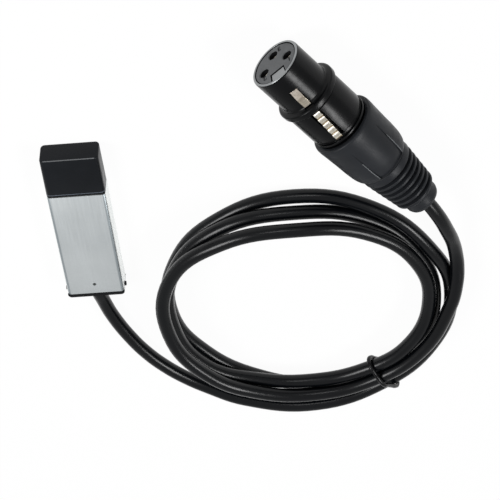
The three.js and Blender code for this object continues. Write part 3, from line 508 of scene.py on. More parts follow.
cord = {
    "diameter": 4.4,
    "coilRadius": 41,
    "coilCentre": (-63.5, 43.3),
    "layer": 4.8,
    "tableHeight": 2.3,
    "firstAngle": 60,
    "points": 12,
    "offsets": [
        [1.26, 0.7, 0.65, 0.73, 0.96, 1.02, 1.22, 1.31, 1.1, 0.76, 0.25, -0.57],
        [-0.98, -0.92, -0.64, -0.37, -0.22, -0.12, 0.12, 0.59, 1.08, 0.84, 0.2, -0.47],
        [-1.52, -2.02, -1.94, -1.39, -0.68, -0.18, 0.0, 0.27, 0.87, 1.12, 0.41, -0.62],
        [-1.16, -1.23, -0.96, -0.33, 0.82],
    ],
    "layers": [
        [0.51, 0.66, 0.25, 0.13, 0.02, 0.48, 0.26, 0.15, 0.13, 0.02, 0.12, 0.03],
        [0.03, 0.15, 0.25, 0.04, 0.03, 0.04, 0.24, 0.93, 1.08, 0.93, 1.08, 1.15],
        [0.81, 0.74, 0.83, 1.08, 0.9, 1.0, 1.42, 2.19, 2.22, 1.84, 2.01, 2.09],
        [1.7, 1.35, 1.15, 1.24, 1.13],
    ],
    "stickLead": [
        (0, 24.2, 3.75), (0, 28.4, 3.75), (0, 30.2, 3.65), (-0.7, 34.6, 2.9), (-2.5, 42.4, 2.4),
        (-6.6, 52.8, 2.4), (-11.1, 61.1, 2.4), (-15.9, 67.6, 2.4), (-21.4, 73.2, 2.5), (-28.6, 78.4, 3.0),
    ],
    "bootLead": [
        (-110.4, 33.9, 6.9), (-110.9, 27.6, 5.8), (-110.6, 22.4, 5.7), (-109.9, 16.9, 6.6),
        (-108.2, 9.4, 8.8), (-105.6, 1.5, 10.2),
    ],
    "inBoot": [68.0, 56, 43, 31],
}

connector = {
    "nose": (-62.9, -61.16),
    "height": 10.25,
    "angle": 125,
    "keyAngle": 10.5,
}

connectorAxis = Vector((
    math.cos(math.radians(connector["angle"])), math.sin(math.radians(connector["angle"])), 0))
connectorNose = Vector((*connector["nose"], connector["height"]))
viewerSide = Vector((0, 0, 1)).cross(connectorAxis)
connectorPlace = Matrix((viewerSide, Vector((0, 0, 1)), connectorAxis)).transposed().to_4x4()
connectorPlace.translation = connectorNose
atKey = Matrix.Rotation(-math.radians(connector["keyAngle"]), 4, "Z")


def coilPoint(turn, step):
    angle = math.radians(cord["firstAngle"] + 360 * (turn + step / cord["points"]))
    radius = cord["coilRadius"] + cord["offsets"][turn][step] * cord["diameter"]
    return Vector((
        cord["coilCentre"][0] + radius * math.cos(angle),
        cord["coilCentre"][1] + radius * math.sin(angle),
        cord["tableHeight"] + cord["layers"][turn][step] * cord["layer"],
    ))


def cordRoute():
    coil = [coilPoint(turn, step) for turn, row in enumerate(cord["offsets"]) for step in range(len(row))]
    inBoot = [connectorNose + connectorAxis * place for place in cord["inBoot"]]
    return [*map(Vector, cord["stickLead"]), *coil, *map(Vector, cord["bootLead"]), *inBoot]


def addCord():
    curve = roundCurve("cord", cordRoute(), cord["diameter"], sides=6, steps=8)
    curve.materials.append(finish["jacket"])
    piece = addObject("cord", curve)
    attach(piece, "interface")
    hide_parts("cord_usb_lead", "cord_coil", "cord_xlr_lead")
    return piece


cordPiece = addCord()
print("cord laid:", len(cordRoute()), "points")

# The tie round the coil

tie = {
    "thickness": 1.4,
    "angle": 124.5,
    "circleSteps": 32,
    "points": 16,
    "slant": 1.4,
    "bulge": 0.2,
    "bulgeFrom": 0.8,
    "aboveTable": 0.02,
}


def strandsAtTie():
    # how far out and how high each turn of the cord is where the tie holds it
    place = (tie["angle"] - cord["firstAngle"]) / (360 / cord["points"])
    before = int(place)
    share = place - before
    found = []
    for rows in zip(cord["offsets"], cord["layers"]):
        offset, layer = (row[before] + share * (row[before + 1] - row[before]) for row in rows)
        radius = cord["coilRadius"] + cord["diameter"] * offset
        found.append(Vector((radius, cord["tableHeight"] + cord["layer"] * layer)))
    return found


def evenlySpaced(loop, count):
    # a closed run of points resampled to even steps along its length
    ends = loop[1:] + loop[:1]
    lengths = [(b - a).length for a, b in zip(loop, ends)]
    step, spots, covered = sum(lengths) / count, [], 0.0
    for a, b, length in zip(loop, ends, lengths):
        while len(spots) * step < covered + length and len(spots) < count:
            spots.append(a.lerp(b, (len(spots) * step - covered) / length))
        covered += length
    return spots


def addTie():
    # a loop pulled tight round the strands, drawn first as (distance from the coil's centre, height)
    reach = (cord["diameter"] + tie["thickness"]) / 2
    turns = [fullTurn * i / tie["circleSteps"] for i in range(tie["circleSteps"])]
    circle = [reach * Vector((math.cos(turn), math.sin(turn))) for turn in turns]
    around = [strand + spot for strand in strandsAtTie() for spot in circle]
    loop = evenlySpaced([around[i] for i in convex_hull_2d(around)], tie["points"])
    angle = math.radians(tie["angle"])
    outward = Vector((math.cos(angle), math.sin(angle), 0))
    along = Vector((-outward.y, outward.x, 0))
    centre = Vector((*cord["coilCentre"], 0))
    inner, outer = min(p.x for p in loop), max(p.x for p in loop)
    knots = []
    for point in loop:
        # the loop leans along the cord towards its inner side and bulges past the outer strand
        share = (point.x - inner) / (outer - inner)
        bulge = tie["bulge"] * max(0, share - tie["bulgeFrom"]) / (1 - tie["bulgeFrom"])
        lean = tie["slant"] * (1 - share)
        height = max(point.y, tie["thickness"] / 2 + tie["aboveTable"])
        knots.append(centre + outward * (point.x + bulge) + along * lean + Vector((0, 0, height)))
    band = roundCurve("tie band", knots, tie["thickness"], sides=4, steps=6, closed=True)
    bm = addShape(bmesh.new(), band, toMillimetres)
    return finishPiece("tie", bm, "tie", ["cord_tie"], smooth=60)


tiePiece = addTie()

# The USB stick: it lies along Y, its plug towards -Y

# how far a cutting tool passes the face that it opens
past = 1

stick = {
    "width": 17.6,
    "height": 7.5,
    "tubeFront": -13.7,
    "tubeRear": 27.1,
    "rear": 28.4,
    "wall": 0.6,
    "corner": 1.0,
    "boreCorner": 0.4,
    "tubeEdge": 0.12,
    "lampPlace": 23.3,
    "lampHole": 0.55,
}

# the tab on each side of the rear cap, and the window in the tube that it snaps into
clip = {
    "place": 26.45,
    "rise": 1,
    "proud": 0.55,
    "length": 1.1,
    "height": 1.5,
    "space": 0.15,
    "edge": 0.15,
}


def roundedBar(width, height, front, rear, corner, segments=8, edge=0):
    bm = block(-width / 2, width / 2, front, rear, 0, height)
    roundOff(bm, edgesAlong(bm, (0, 1, 0)), corner, segments)
    for end in (front, rear) if edge else ():
        roundOff(bm, edgesAt(bm, 1, end), edge, 2)
    return bm


def addHousing():
    width, height, wall = stick["width"], stick["height"], stick["wall"]
    skin = roundedBar(
        width, height, stick["tubeFront"], stick["tubeRear"], stick["corner"], edge=stick["tubeEdge"])
    bore = roundedBar(
        width - 2 * wall, height - 2 * wall, stick["tubeFront"] - past, stick["tubeRear"] + past,
        stick["boreCorner"], 4)
    placed(bore, shift(0, 0, wall))
    half, tall = clip["length"] / 2, clip["height"] / 2
    middle = height / 2 + clip["rise"]
    windows = block(
        -width, width, clip["place"] - half, clip["place"] + half, middle - tall, middle + tall)
    hole = drum(stick["lampHole"], height / 2, height + past)
    placed(hole, shift(0, stick["lampPlace"], 0))
    tube = carve(skin, bore, windows, hole)
    return finishPiece("housing", tube, "aluminium", ["housing_tube"])


plug = {
    "width": 12,
    "height": 4.5,
    "tip": -25.7,
    "rear": -7.1,
    "sheet": 0.3,
    "corner": 0.5,
    "boreCorner": 0.2,
    "edge": 0.08,
    "windowApart": 3,
    "windowHalf": 1.25,
    "windowFront": -20.5,
    "windowRear": -18.5,
    "seamHalf": 0.05,
    "seamDepth": 0.15,
}

cap = {
    "front": -28.4,
    "mouth": -13.95,
    "corner": 1.3,
    "frontEdge": 0.4,
    "mouthEdge": 0.22,
    "narrowing": 0.25,
    "space": 0.15,
    "tipSpace": 0.5,
    "mouthStep": 0.35,
}


def addCap():
    width, height = stick["width"], stick["height"]
    length = cap["mouth"] - cap["front"]
    body = roundedBar(width, height, cap["front"], cap["mouth"], cap["corner"], 10)
    roundOff(body, edgesAt(body, 1, cap["front"]), cap["frontEdge"], 4)
    roundOff(body, edgesAt(body, 1, cap["mouth"]), cap["mouthEdge"], 3)
    for vert in body.verts:
        share = (cap["mouth"] - vert.co.y) / length
        vert.co.x *= 1 - share * cap["narrowing"] / width
    middle, back = height / 2, cap["mouth"] + past
    wide, deep = plug["width"] / 2 + cap["space"], plug["height"] / 2 + cap["space"]
    pocket = block(-wide, wide, plug["tip"] - cap["tipSpace"], back, middle - deep, middle + deep)
    step = cap["mouthStep"]
    mouth = block(
        -wide - step, wide + step, cap["mouth"] - step, back, middle - deep - step, middle + deep + step)
    hollow = carve(body, pocket, mouth)
    return finishPiece("cap", hollow, "capBlack", ["usb_cap"], body="cap")


rearCap = {
    "corner": 1.25,
    "edge": 0.35,
    "space": 0.15,
    "spigotFront": 25.2,
    "spigotRear": 28,
    "armThick": 0.8,
    "armFront": 22.6,
    "armRear": 27.3,
    "armHalf": 2,
    "cordSpace": 0.3,
    "holeFront": 20,
    "holeRear": 30,
}


def addRearCap():
    width, height, space = stick["width"], stick["height"], rearCap["space"]
    plate = block(-width / 2, width / 2, stick["tubeRear"], stick["rear"], 0, height)
    upright = edgesAlong(plate, (0, 0, 1))
    roundOff(plate, [e for e in edgesAt(plate, 1, stick["rear"]) if e in upright], rearCap["corner"], 8)
    roundOff(plate, edgesAt(plate, 2, height) + edgesAt(plate, 2, 0), rearCap["edge"], 4)
    root = width / 2 - stick["wall"] - space
    low, high = stick["wall"] + space, height - stick["wall"] - space
    extras = [block(-root, root, rearCap["spigotFront"], rearCap["spigotRear"], low, high)]
    middle, tabMiddle = height / 2, height / 2 + clip["rise"]
    half, tall = clip["length"] / 2 - clip["space"], clip["height"] / 2 - clip["space"]
    for side in (-1, 1):
        inner, outer = side * (root - rearCap["armThick"]), side * root
        tip = side * (width / 2 + clip["proud"])
        arm = block(
            min(inner, outer), max(inner, outer), rearCap["armFront"], rearCap["armRear"],
            middle - rearCap["armHalf"], middle + rearCap["armHalf"])
        tab = block(
            min(inner, tip), max(inner, tip), clip["place"] - half, clip["place"] + half,
            tabMiddle - tall, tabMiddle + tall)
        roundOff(tab, edgesAlong(tab, (0, 1, 0)), clip["edge"], 2)
        extras += [arm, tab]
    joined = carve(plate, *extras, how="UNION")
    hole = drum(cord["diameter"] / 2 + rearCap["cordSpace"], rearCap["holeFront"], rearCap["holeRear"])
    placed(hole, shift(0, 0, middle) @ zToY)
    return finishPiece("rear_cap", carve(joined, hole), "rearBlack", ["rear_end_cap"])


def addPlug():
    # folded steel shell: rounded corners, two windows above and below, and a seam underneath
    wide, tall, sheet = plug["width"], plug["height"], plug["sheet"]
    front, back = plug["tip"] - past, plug["rear"] + past
    low = (stick["height"] - tall) / 2
    skin = roundedBar(wide, tall, plug["tip"], plug["rear"], plug["corner"], 4, plug["edge"])
    placed(skin, shift(0, 0, low))
    hollow = roundedBar(wide - 2 * sheet, tall - 2 * sheet, front, back, plug["boreCorner"], 2)
    tools = [placed(hollow, shift(0, 0, low + sheet))]
    for middle in (-plug["windowApart"], plug["windowApart"]):
        tools.append(block(
            middle - plug["windowHalf"], middle + plug["windowHalf"],
            plug["windowFront"], plug["windowRear"], low - past, low + tall + past))
    seam = plug["seamHalf"]
    tools.append(block(-seam, seam, front, back, low - past, low + plug["seamDepth"]))
    return finishPiece("plug_shell", carve(skin, *tools), "plugSteel", ["usb_plug_shell"])


# the light's outline, as (radius, height)
lampDome = [(0, 3.5), (0.42, 3.5), (0.42, 6.45), (0.36, 6.6), (0.22, 6.7), (0, 6.74)]


def addStatusLight():
    dome = turned(lampDome, 24, closed=False)
    placed(dome, shift(0, stick["lampPlace"], 0))
    return finishPiece("lamp", dome, "lens", ["status_led"], smooth=50)


addHousing()
addCap()
addRearCap()
addPlug()
addStatusLight()
print("stick built")

# The XLR connector: drawn along Z from its nose, X towards the viewer's side, Y up

shell = {
    "bore": 7.2,
    "rim": 7.78,
    "rimDepth": 0.15,
    "barrel": 8.0,
    "collar": 9.7,
    "middle": 8.98,
    "neck": 8.3,
    "neckRing": 9.0,
    "key": [(-2.05, 3.9), (2.05, 3.9), (2.3, 7.3), (-2.3, 7.3)],
    "keyFront": 0.34,
    "keyRear": 5,
    "cutLow": 3.9,
    "cutHigh": 10.7,
    "windowHalf": 1.375,
    "windowFront": 5.9,
    "windowRear": 12.8,
    "slotHalf": 1.7,
    "slotFront": 15.15,
    "slotRear": 26.3,
}


def prism(outline, z0, z1):
    # an outline in X and Y, extruded along Z
    bm = bmesh.new()
    face = bm.faces.new([bm.verts.new((x, y, z0)) for x, y in outline])
    pushed = bmesh.ops.extrude_face_region(bm, geom=[face])
    moved = [v for v in pushed["geom"] if isinstance(v, bmesh.types.BMVert)]
    bmesh.ops.translate(bm, verts=moved, vec=(0, 0, z1 - z0))
    bmesh.ops.recalc_face_normals(bm, faces=bm.faces)
    return bm


def addShell():
    bore, barrel, collar = shell["bore"], shell["barrel"], shell["collar"]
    middle, neck, ring = shell["middle"], shell["neck"], shell["neckRing"]
    # (radius, place behind the nose), outside from front to rear and back through the bore
    profile = [
        (bore, 0), (shell["rim"], 0), (barrel - 0.06, 0.24), (barrel, 0.6), (barrel, 12), (8.1, 12.35),
        (8.35, 12.65), (8.8, 12.85), (9.4, 13.0), (collar, 13.3), (collar, 14.7), (9.4, 15.0),
        (8.45, 15.0), (8.45, 15.25), (middle, 15.45), (middle, 26.15), (8.83, 26.35), (neck, 26.35),
        (neck, 27.6), (ring, 27.6), (ring, 28.3), (neck, 28.3), (neck, 36.5), (bore, 36.5),
    ]
    body = turned(profile, 120, soften=0.1)
    low, high = shell["cutLow"], shell["cutHigh"]
    window = block(
        -shell["windowHalf"], shell["windowHalf"], low, high, shell["windowFront"], shell["windowRear"])
    slot = block(-shell["slotHalf"], shell["slotHalf"], low, high, shell["slotFront"], shell["slotRear"])
    key = prism(shell["key"], shell["keyFront"], shell["keyRear"])
    cut = carve(body, placed(window, atKey), placed(slot, atKey))
    whole = carve(cut, placed(key, atKey), how="UNION")
    # the rim's and the key's front faces are bare metal
    for face in whole.faces:
        place = face.calc_center_median().z
        onFront = place < shell["rimDepth"] or abs(place - shell["keyFront"]) < 0.01
        if onFront and face.normal.z < -0.3:
            face.material_index = 1
    return finishPiece(
        "shell", whole, "shell", ["xlr_shell"], connectorPlace, extra=["bareRim"])


insert = {
    "radius": 6.97,
    "edge": 0.15,
    "front": 0.14,
    "rear": 24,
    "keyway": [(-2.45, 3.5), (2.45, 3.5), (2.7, 8.2), (-2.7, 8.2)],
    "keywayRear": 5.3,
    "channelHalf": 1.65,
    "channelFloor": 4.5,
    "channelTop": 8.2,
    "channelFront": 5,
    "pinCircle": 4.15,
    "pinAngles": [85, -85, 180],
    "pinHole": 1.5,
    "pinDepth": 3,
    "pinMouth": [(0, -0.5), (2.2, -0.5), (1.45, 0.45), (0, 0.45)],
    "sleeveSpace": 1.9,
    "sleeveFront": 2.2,
    "wellRadius": 1.2,
    "wellFloor": 2.8,
    "wellTop": 7,
    "darkFrom": 0.44,
    "numeralHeight": 2.5,
    "numeralThick": 0.02,
    "numeralBold": 0.07,
    "numeralSunk": 0.01,
    "numerals": [("1", 5.35, 59), ("2", 5.2, -57), ("3", 5.25, 153)],
}


def polar(radius, degrees):
    # a place on a circle, its angle measured from the key towards the viewer's side
    angle = math.radians(connector["keyAngle"] + degrees)
    return Vector((radius * math.sin(angle), radius * math.cos(angle), 0))


def addInsert():
    front, rear, radius, edge = insert["front"], insert["rear"], insert["radius"], insert["edge"]
    body = turned(
        [(0, front), (radius - edge, front), (radius, front + edge), (radius, rear), (0, rear)],
        96, closed=False)
    keyway = prism(insert["keyway"], -past, insert["keywayRear"])
    channel = block(
        -insert["channelHalf"], insert["channelHalf"], insert["channelFloor"], insert["channelTop"],
        insert["channelFront"], rear + past)
    tools = [placed(keyway, atKey), placed(channel, atKey)]
    for degrees in insert["pinAngles"]:
        spot = Matrix.Translation(polar(insert["pinCircle"], degrees))
        tools.append(placed(drum(insert["pinHole"], -past, insert["pinDepth"]), spot))
        tools.append(placed(turned(insert["pinMouth"], 48, closed=False), spot))
        tools.append(placed(drum(insert["sleeveSpace"], insert["sleeveFront"], rear + past), spot))
    well = drum(insert["wellRadius"], insert["wellFloor"], insert["wellTop"])
    placed(well, shift(0, 0, spring["place"]) @ zToY)
    tools.append(placed(well, atKey))
    whole = carve(body, *tools)
    # faces set back behind the front are painted near black: painted shade inside the holes, keyway,
    # channel and well
    for face in whole.faces:
        if face.calc_center_median().z > insert["darkFrom"]:
            face.material_index = 1
    return finishPiece(
        "insert", whole, "insert", ["xlr_insert"], connectorPlace, extra=["insertPaintedShade"])


# (radius, place): a sleeve with a rounded mouth just behind the insert's face, a solder cup at its back
contactProfile = [
    (1.0, 1.75), (1.1, 1.6), (1.32, 1.6), (1.42, 1.75), (1.42, 2.6), (1.6, 2.8), (1.6, 23.7), (1.1, 24),
    (1.1, 27), (0, 27), (0, 14.5), (1.0, 14.5),
]
contactSlit = {"reach": 1.8, "half": 0.12, "front": 1, "rear": 9, "turn": 0.9}


def addContacts():
    reach, half = contactSlit["reach"], contactSlit["half"]
    turn = Matrix.Rotation(contactSlit["turn"], 4, "Z")
    for i, degrees in enumerate(insert["pinAngles"]):
        slit = block(-reach, reach, -half, half, contactSlit["front"], contactSlit["rear"])
        cut = carve(turned(contactProfile, 40), placed(slit, turn))
        spot = Matrix.Translation(polar(insert["pinCircle"], degrees))
        finishPiece(
            f"contact_{i + 1}", cut, "silver", [f"xlr_contact_{i + 1}"], connectorPlace @ spot)


def addNumerals():
    whole = bmesh.new()
    facing = Matrix.Rotation(math.pi, 4, "Y")
    sunk = Vector((0, 0, insert["front"] - insert["numeralSunk"]))
    for word, reach, degrees in insert["numerals"]:
        text = bpy.data.curves.new("numeral", "FONT")
        text.body = word
        text.size = insert["numeralHeight"]
        text.extrude = insert["numeralThick"]
        text.offset = insert["numeralBold"]
        text.align_x = "CENTER"
        text.align_y = "CENTER"
        spot = Matrix.Translation(polar(reach, degrees) + sunk)
        addShape(whole, text, spot @ atKey @ facing)
    return finishPiece("pin_numbers", whole, "numeral", (), connectorPlace)


latch = {
    "width": 2.35,
    "plateLow": 5.9,
    "plateTop": 6.9,
    "hookFront": 6.2,
    "hookNose": 7.5,
    "hookTop": 8.35,
    "hookBend": 9.0,
    "hookRear": 12.4,
    "leverFront": 15.8,
    "leverRear": 26.4,
    "leverLow": 8.5,
    "leverHigh": 9.6,
    "ridges": 5,
    "ridgeHeight": 0.3,
    "ridgeSteps": 10,
    "ridgeShare": 0.66,
    "ridgeBluntness": 0.8,
    "ridgeTilt": 0.2,
    "tail": 28.2,
    "leverWidth": 2.15,
    "leverDrift": -0.4,
    "edge": 0.09,
}


def addLatch():
    low, top, tail = latch["plateLow"], latch["plateTop"], latch["tail"]
    front, rear = latch["leverFront"], latch["leverRear"]
    # (place behind the nose, height): the hook, the thin strip, the ridged lever and the tail
    outline = [
        (latch["hookFront"], low), (latch["hookFront"], latch["hookNose"]),
        (latch["hookBend"], latch["hookTop"]), (latch["hookRear"], latch["hookTop"]),
        (latch["hookRear"], top), (front, top),
    ]
    pitch = (rear - front) / latch["ridges"]
    climb = (latch["leverHigh"] - latch["leverLow"]) / latch["ridges"]
    for i in range(latch["ridges"]):
        start = front + i * pitch
        height = latch["leverLow"] + i * climb
        for step in range(latch["ridgeSteps"]):
            share = step / latch["ridgeSteps"]
            wave = math.sin(math.pi * min(share / latch["ridgeShare"], 1)) ** latch["ridgeBluntness"]
            rise = share * climb * latch["ridgeTilt"] + latch["ridgeHeight"] * wave
            outline.append((start + share * pitch, height + rise))
    outline += [(rear, latch["leverHigh"] - climb / 2), (rear, top), (tail, top), (tail, low)]
    bm = prism(outline, -latch["width"] / 2, latch["width"] / 2)
    # the lever is narrower than the hook and stands a little askew in its slot
    for vert in bm.verts:
        if vert.co.x > front - 0.01:
            along = (vert.co.x - front) / (rear - front)
            vert.co.z = vert.co.z * latch["leverWidth"] / latch["width"] - along * latch["leverDrift"]
    placed(bm, Matrix.Rotation(math.radians(-90), 4, "Y"))
    place = connectorPlace @ atKey
    piece = finishPiece("latch", bm, "nickel", ["xlr_latch"], place, smooth=28, body="latch")
    return softenEdges(piece, latch["edge"])


spring = {
    "radius": 0.9,
    "wire": 0.15,
    "foot": 3.2,
    "place": 20,
    "length": 2.2,
    "curls": 4,
    "stepsPerCurl": 20,
}


def addSpring():
    bm = bmesh.new()
    bmesh.ops.create_circle(
        bm, segments=12, radius=spring["wire"],
        matrix=shift(spring["radius"], 0, 0) @ Matrix.Rotation(math.radians(90), 4, "X"))
    bmesh.ops.contextual_create(bm, geom=list(bm.edges))
    rise = spring["length"] - 2 * spring["wire"]
    steps = spring["stepsPerCurl"] * spring["curls"]
    bmesh.ops.spin(
        bm, geom=list(bm.faces) + list(bm.edges) + list(bm.verts), cent=(0, 0, 0), axis=(0, 0, 1),
        dvec=(0, 0, rise / steps), angle=fullTurn * spring["curls"], steps=steps)
    bmesh.ops.recalc_face_normals(bm, faces=bm.faces)
    placed(bm, shift(0, spring["foot"] + spring["wire"], spring["place"]) @ zToY)
    place = connectorPlace @ atKey
    return finishPiece("return_spring", bm, "spring", ["latch_spring"], place, smooth=60)


boot = {
    "radius": 10.2,
    "front": 29.2,
    "rear": 68.1,
    "ribs": 6,
    "firstRib": 51.7,
    "pitch": 2.16,
    "ribWidth": 0.8,
    "firstRadius": 8.1,
    "lastRadius": 6.8,
    "grooveDepth": 1.6,
    "grooveHalf": 0.45,
    "collar": 5.4,
    "collarFrom": 64.2,
    "cordHole": 2.5,
    "mouth": 8.6,
    "panelFront": 33.0,
    "panelRear": 47.5,
    "panelDepth": 0.6,
    "panelStart": 0.05,
    "panelOpen": 12,
    "panelWidth": 66,
    "panelAngles": [34.5, 214.5],
    "ledgeFront": 39,
    "ledgeRear": 46.1,
    "ledgeSharpness": 0.7,
    "ledgeRounding": 0.22,
}

# the grip, as (radius beyond the boot's, place behind its front)
bootGrip = [
    (-0.55, 0), (-0.15, 0.2), (0, 0.8), (0, 2), (-0.12, 3.8), (-0.24, 6.3), (-0.37, 8.8), (-0.44, 11.8),
    (-0.65, 14.8), (-0.85, 16.1), (-1.15, 17.2), (-1.6, 18),
]

# the plain ring ahead of the ribs, and the inside from the rear forward, as (radius, place)
bootRing = [(7.6, 47.3), (8.3, 47.6), (8.3, 50.0)]
bootInside = [(5.3, 46.3), (7.2, 40), (7.2, 36.8)]


def gripRadius(place):
    behind = place - boot["front"]
    for (r0, s0), (r1, s1) in zip(bootGrip, bootGrip[1:]):
        if s0 <= behind <= s1:
            return boot["radius"] + r0 + (r1 - r0) * (behind - s0) / (s1 - s0)
    return boot["radius"]


def bootProfile():
    profile = [(boot["radius"] + radius, boot["front"] + place) for radius, place in bootGrip] + bootRing
    for i in range(boot["ribs"]):
        middle = boot["firstRib"] + i * boot["pitch"]
        radius = boot["firstRadius"] + (boot["lastRadius"] - boot["firstRadius"]) * i / (boot["ribs"] - 1)
        groove, ahead = radius - boot["grooveDepth"], middle - boot["pitch"] / 2
        profile += [(groove, ahead - boot["grooveHalf"]), (groove, ahead + boot["grooveHalf"])]
        profile += [(radius, middle - boot["ribWidth"] / 2), (radius, middle + boot["ribWidth"] / 2)]
    collar, rear = boot["collar"], boot["rear"]
    profile += [
        (collar + 0.2, boot["collarFrom"] - 0.3), (collar, boot["collarFrom"]), (collar, rear - 1.5),
        (collar - 0.4, rear - 0.5), (collar - 1.2, rear), (boot["cordHole"], rear),
    ]
    profile += [(boot["cordHole"], bootInside[0][1])] + bootInside
    return profile + [(boot["mouth"], bootInside[-1][1]), (boot["mouth"], boot["front"])]


def panelCutter(degrees):
    # a sector whose floor slopes in from the grip, deepest at its rear
    front, rear, far = boot["panelFront"], boot["panelRear"], boot["panelOpen"]
    floor = []
    for share in (0, 0.25, 0.5, 0.7, 0.85, 0.94, 1):
        place = front + share * (rear - front)
        depth = boot["panelDepth"] * (boot["panelStart"] + (1 - boot["panelStart"]) * share)
        floor.append((gripRadius(place) - depth, place))
    width = math.radians(boot["panelWidth"])
    bm = turned([(far, front)] + floor + [(far, rear)], 24, width)
    bmesh.ops.holes_fill(bm, edges=bm.edges)
    bmesh.ops.recalc_face_normals(bm, faces=bm.faces)
    # the spin starts on X; the panel's middle goes to its angle from up towards the viewer
    return placed(bm, Matrix.Rotation(math.radians(90 - degrees) - width / 2, 4, "Z"))


def isLedge(edge):
    middle = (edge.verts[0].co + edge.verts[1].co) / 2
    along = (edge.verts[1].co - edge.verts[0].co).normalized()
    between = boot["ledgeFront"] < middle.z < boot["ledgeRear"]
    sharp = edge.is_convex and edge.calc_face_angle(0) > boot["ledgeSharpness"]
    return between and abs(along.z) > 0.9 and sharp


def addBoot():
    body = turned(bootProfile(), 120, soften=0.16)
    whole = carve(body, *[panelCutter(degrees) for degrees in boot["panelAngles"]])
    # the long ledges of both panels are rounded over, and the rounding is given a lighter material as a
    # painted highlight
    ledges = [edge for edge in whole.edges if isLedge(edge)]
    roundOff(whole, ledges, boot["ledgeRounding"], 3, material=1, clamp=False)
    return finishPiece(
        "boot", whole, "boot", ["xlr_boot"], connectorPlace, smooth=30, extra=["bootLedgeHighlight"])


addShell()
addInsert()
addContacts()
addNumerals()
addLatch()
addSpring()
addBoot()
print("connector built")

# Short insulated wires inside the two ends

wires = {
    "thickness": 0.7,
    "stick": [
        [(-1.5, 24.05, 4.0), (-1.5, 22.25, 4.0), (-2.25, 20.45, 4.0)],
        [(1.5, 24.05, 4.0), (1.5, 22.25, 4.0), (2.25, 20.45, 4.0)],
        [(0, 24.05, 2.0), (0, 22.25, 2.0), (0, 20.45, 2.0)],
    ],
    "inCord": [30.85, 30.3],
    "inCup": [28.05, 27.15],
    "looks": ["wireRed", "wireWhite", "wireBare"],
    "slots": ["wire_red", "wire_white", "wire_bare"],
}


def addWire(name, node, points, i):
    curve = roundCurve(name, points, wires["thickness"], sides=4, steps=12)
    bm = addShape(bmesh.new(), curve, toMillimetres)
    return finishPiece(name, bm, wires["looks"][i], [node], smooth=60)


for i, points in enumerate(wires["stick"]):
    addWire(f"stick_wire_{i + 1}", f"board_wire_{i + 1}", points, i)
for i, degrees in enumerate(insert["pinAngles"]):
    spot = polar(insert["pinCircle"], degrees)
    near = spot * (cord["diameter"] / 4 / insert["pinCircle"])
    points = [(near.x, near.y, place) for place in wires["inCord"]]
    points += [(spot.x, spot.y, place) for place in wires["inCup"]]
    route = [connectorPlace @ Vector(point) for point in points]
    addWire(f"solder_wire_{i + 1}", f"connector_wire_{i + 1}", route, i)
print("wires laid")

# CAD nodes that keep their shape get their finish

kept = {
    "front_bezel": "bezelBlack",
    "usb_tongue": "tongueWhite",
    "circuit_board": "board",
    "interface_chip": "chip",
    "line_driver_chip": "chip",
    "crystal": "can",
    "cord_ferrule": "ferrule",
    "xlr_chuck": "chuck",
}
kept.update({f"usb_contact_{i}": "gold" for i in range(1, 5)})
kept.update({f"capacitor_{i}": "ceramic" for i in range(1, 4)})
kept.update({f"resistor_{i}": "chip" for i in range(1, 3)})
for node, look in kept.items():
    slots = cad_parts[node].data.materials
    slots.clear()
    slots.append(finish[look])
print("kept nodes finished:", len(kept))

# Floor, world and lamps

studio = {
    "floorHalf": 2.0,
    "floorPlace": (-50, 0, -0.03),
    "floorBlend": 0.96,
    "worldFill": 0.14,
    "skyInGloss": 0.5,
    "centre": (-60, 10, 0),
    "lampDistance": 0.9,
}

# each lamp's direction from the centre, its size in metres and its watts
lamps = {
    "right box": ((-0.64, 0.06, 0.72), (0.38, 0.22), 4.8),
    "left box": ((0.6, -0.22, 0.77), (0.34, 0.34), 5.6),
    "front box": ((0.0, -0.75, 0.66), (0.25, 0.12), 0.7),
}


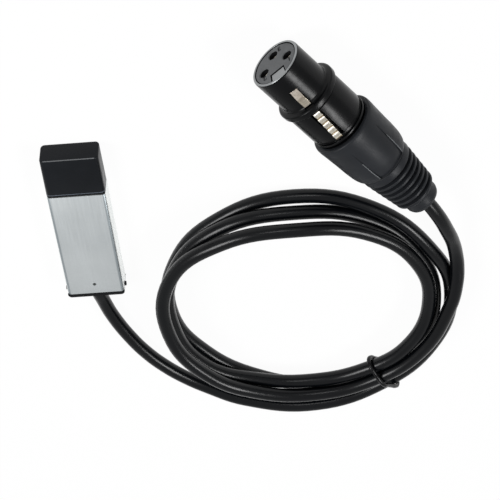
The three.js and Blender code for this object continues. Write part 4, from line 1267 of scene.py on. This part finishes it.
def seenDirectly(tree, glossyShare=1.0):
    # one for what the camera sees, and a share of it for what reflections see
    rays = tree.nodes.new("ShaderNodeLightPath").outputs
    reflected = calculated(tree, "MULTIPLY", rays["Is Glossy Ray"], glossyShare)
    seen = {0: rays["Is Camera Ray"], 1: reflected}
    either = addNode(tree, "ShaderNodeMath", {}, seen, operation="ADD", use_clamp=True)
    through = {0: either.outputs[0], 1: rays["Is Transmission Ray"]}
    return addNode(tree, "ShaderNodeMath", {}, through, operation="ADD", use_clamp=True).outputs[0]


def addFloor():
    bm = bmesh.new()
    bmesh.ops.create_grid(bm, x_segments=4, y_segments=4, size=studio["floorHalf"])
    mesh = bpy.data.meshes.new("floor")
    bm.to_mesh(mesh)
    bm.free()
    floor = addObject("floor", mesh)
    floor.location = metres(studio["floorPlace"])
    material, tree, shader = startMaterial("floor paper", (0.86, 0.86, 0.86), 0.9, specular=0.0)
    glow = tree.nodes.new("ShaderNodeEmission")
    share = calculated(tree, "MULTIPLY", seenDirectly(tree), studio["floorBlend"])
    links = {"Fac": share, 1: shader.outputs[0], 2: glow.outputs[0]}
    blend = addNode(tree, "ShaderNodeMixShader", {}, links)
    tree.links.new(blend.outputs[0], tree.nodes["Material Output"].inputs["Surface"])
    mesh.materials.append(material)


def addWorld():
    world = bpy.data.worlds.new("studio")
    bpy.context.scene.world = world
    world.use_nodes = True
    tree = world.node_tree
    background = tree.nodes["Background"]
    background.inputs["Color"].default_value = (1, 1, 1, 1)
    ends = {"To Min": studio["worldFill"], "To Max": 1.0}
    seen = seenDirectly(tree, studio["skyInGloss"])
    level = addNode(tree, "ShaderNodeMapRange", ends, {"Value": seen})
    tree.links.new(level.outputs["Result"], background.inputs["Strength"])


def addLamp(name, direction, size, watts):
    lamp = bpy.data.lights.new(name, "AREA")
    lamp.shape = "RECTANGLE"
    lamp.size, lamp.size_y = size
    lamp.energy = watts
    holder = addObject(name, lamp)
    towards = Vector(direction).normalized()
    holder.location = metres(studio["centre"]) + towards * studio["lampDistance"]
    holder.rotation_euler = towards.to_track_quat("Z", "Y").to_euler()


addFloor()
addWorld()
for name, (direction, size, watts) in lamps.items():
    addLamp(name, direction, size, watts)
bpy.context.scene.view_settings.view_transform = "Standard"
print("studio lit")
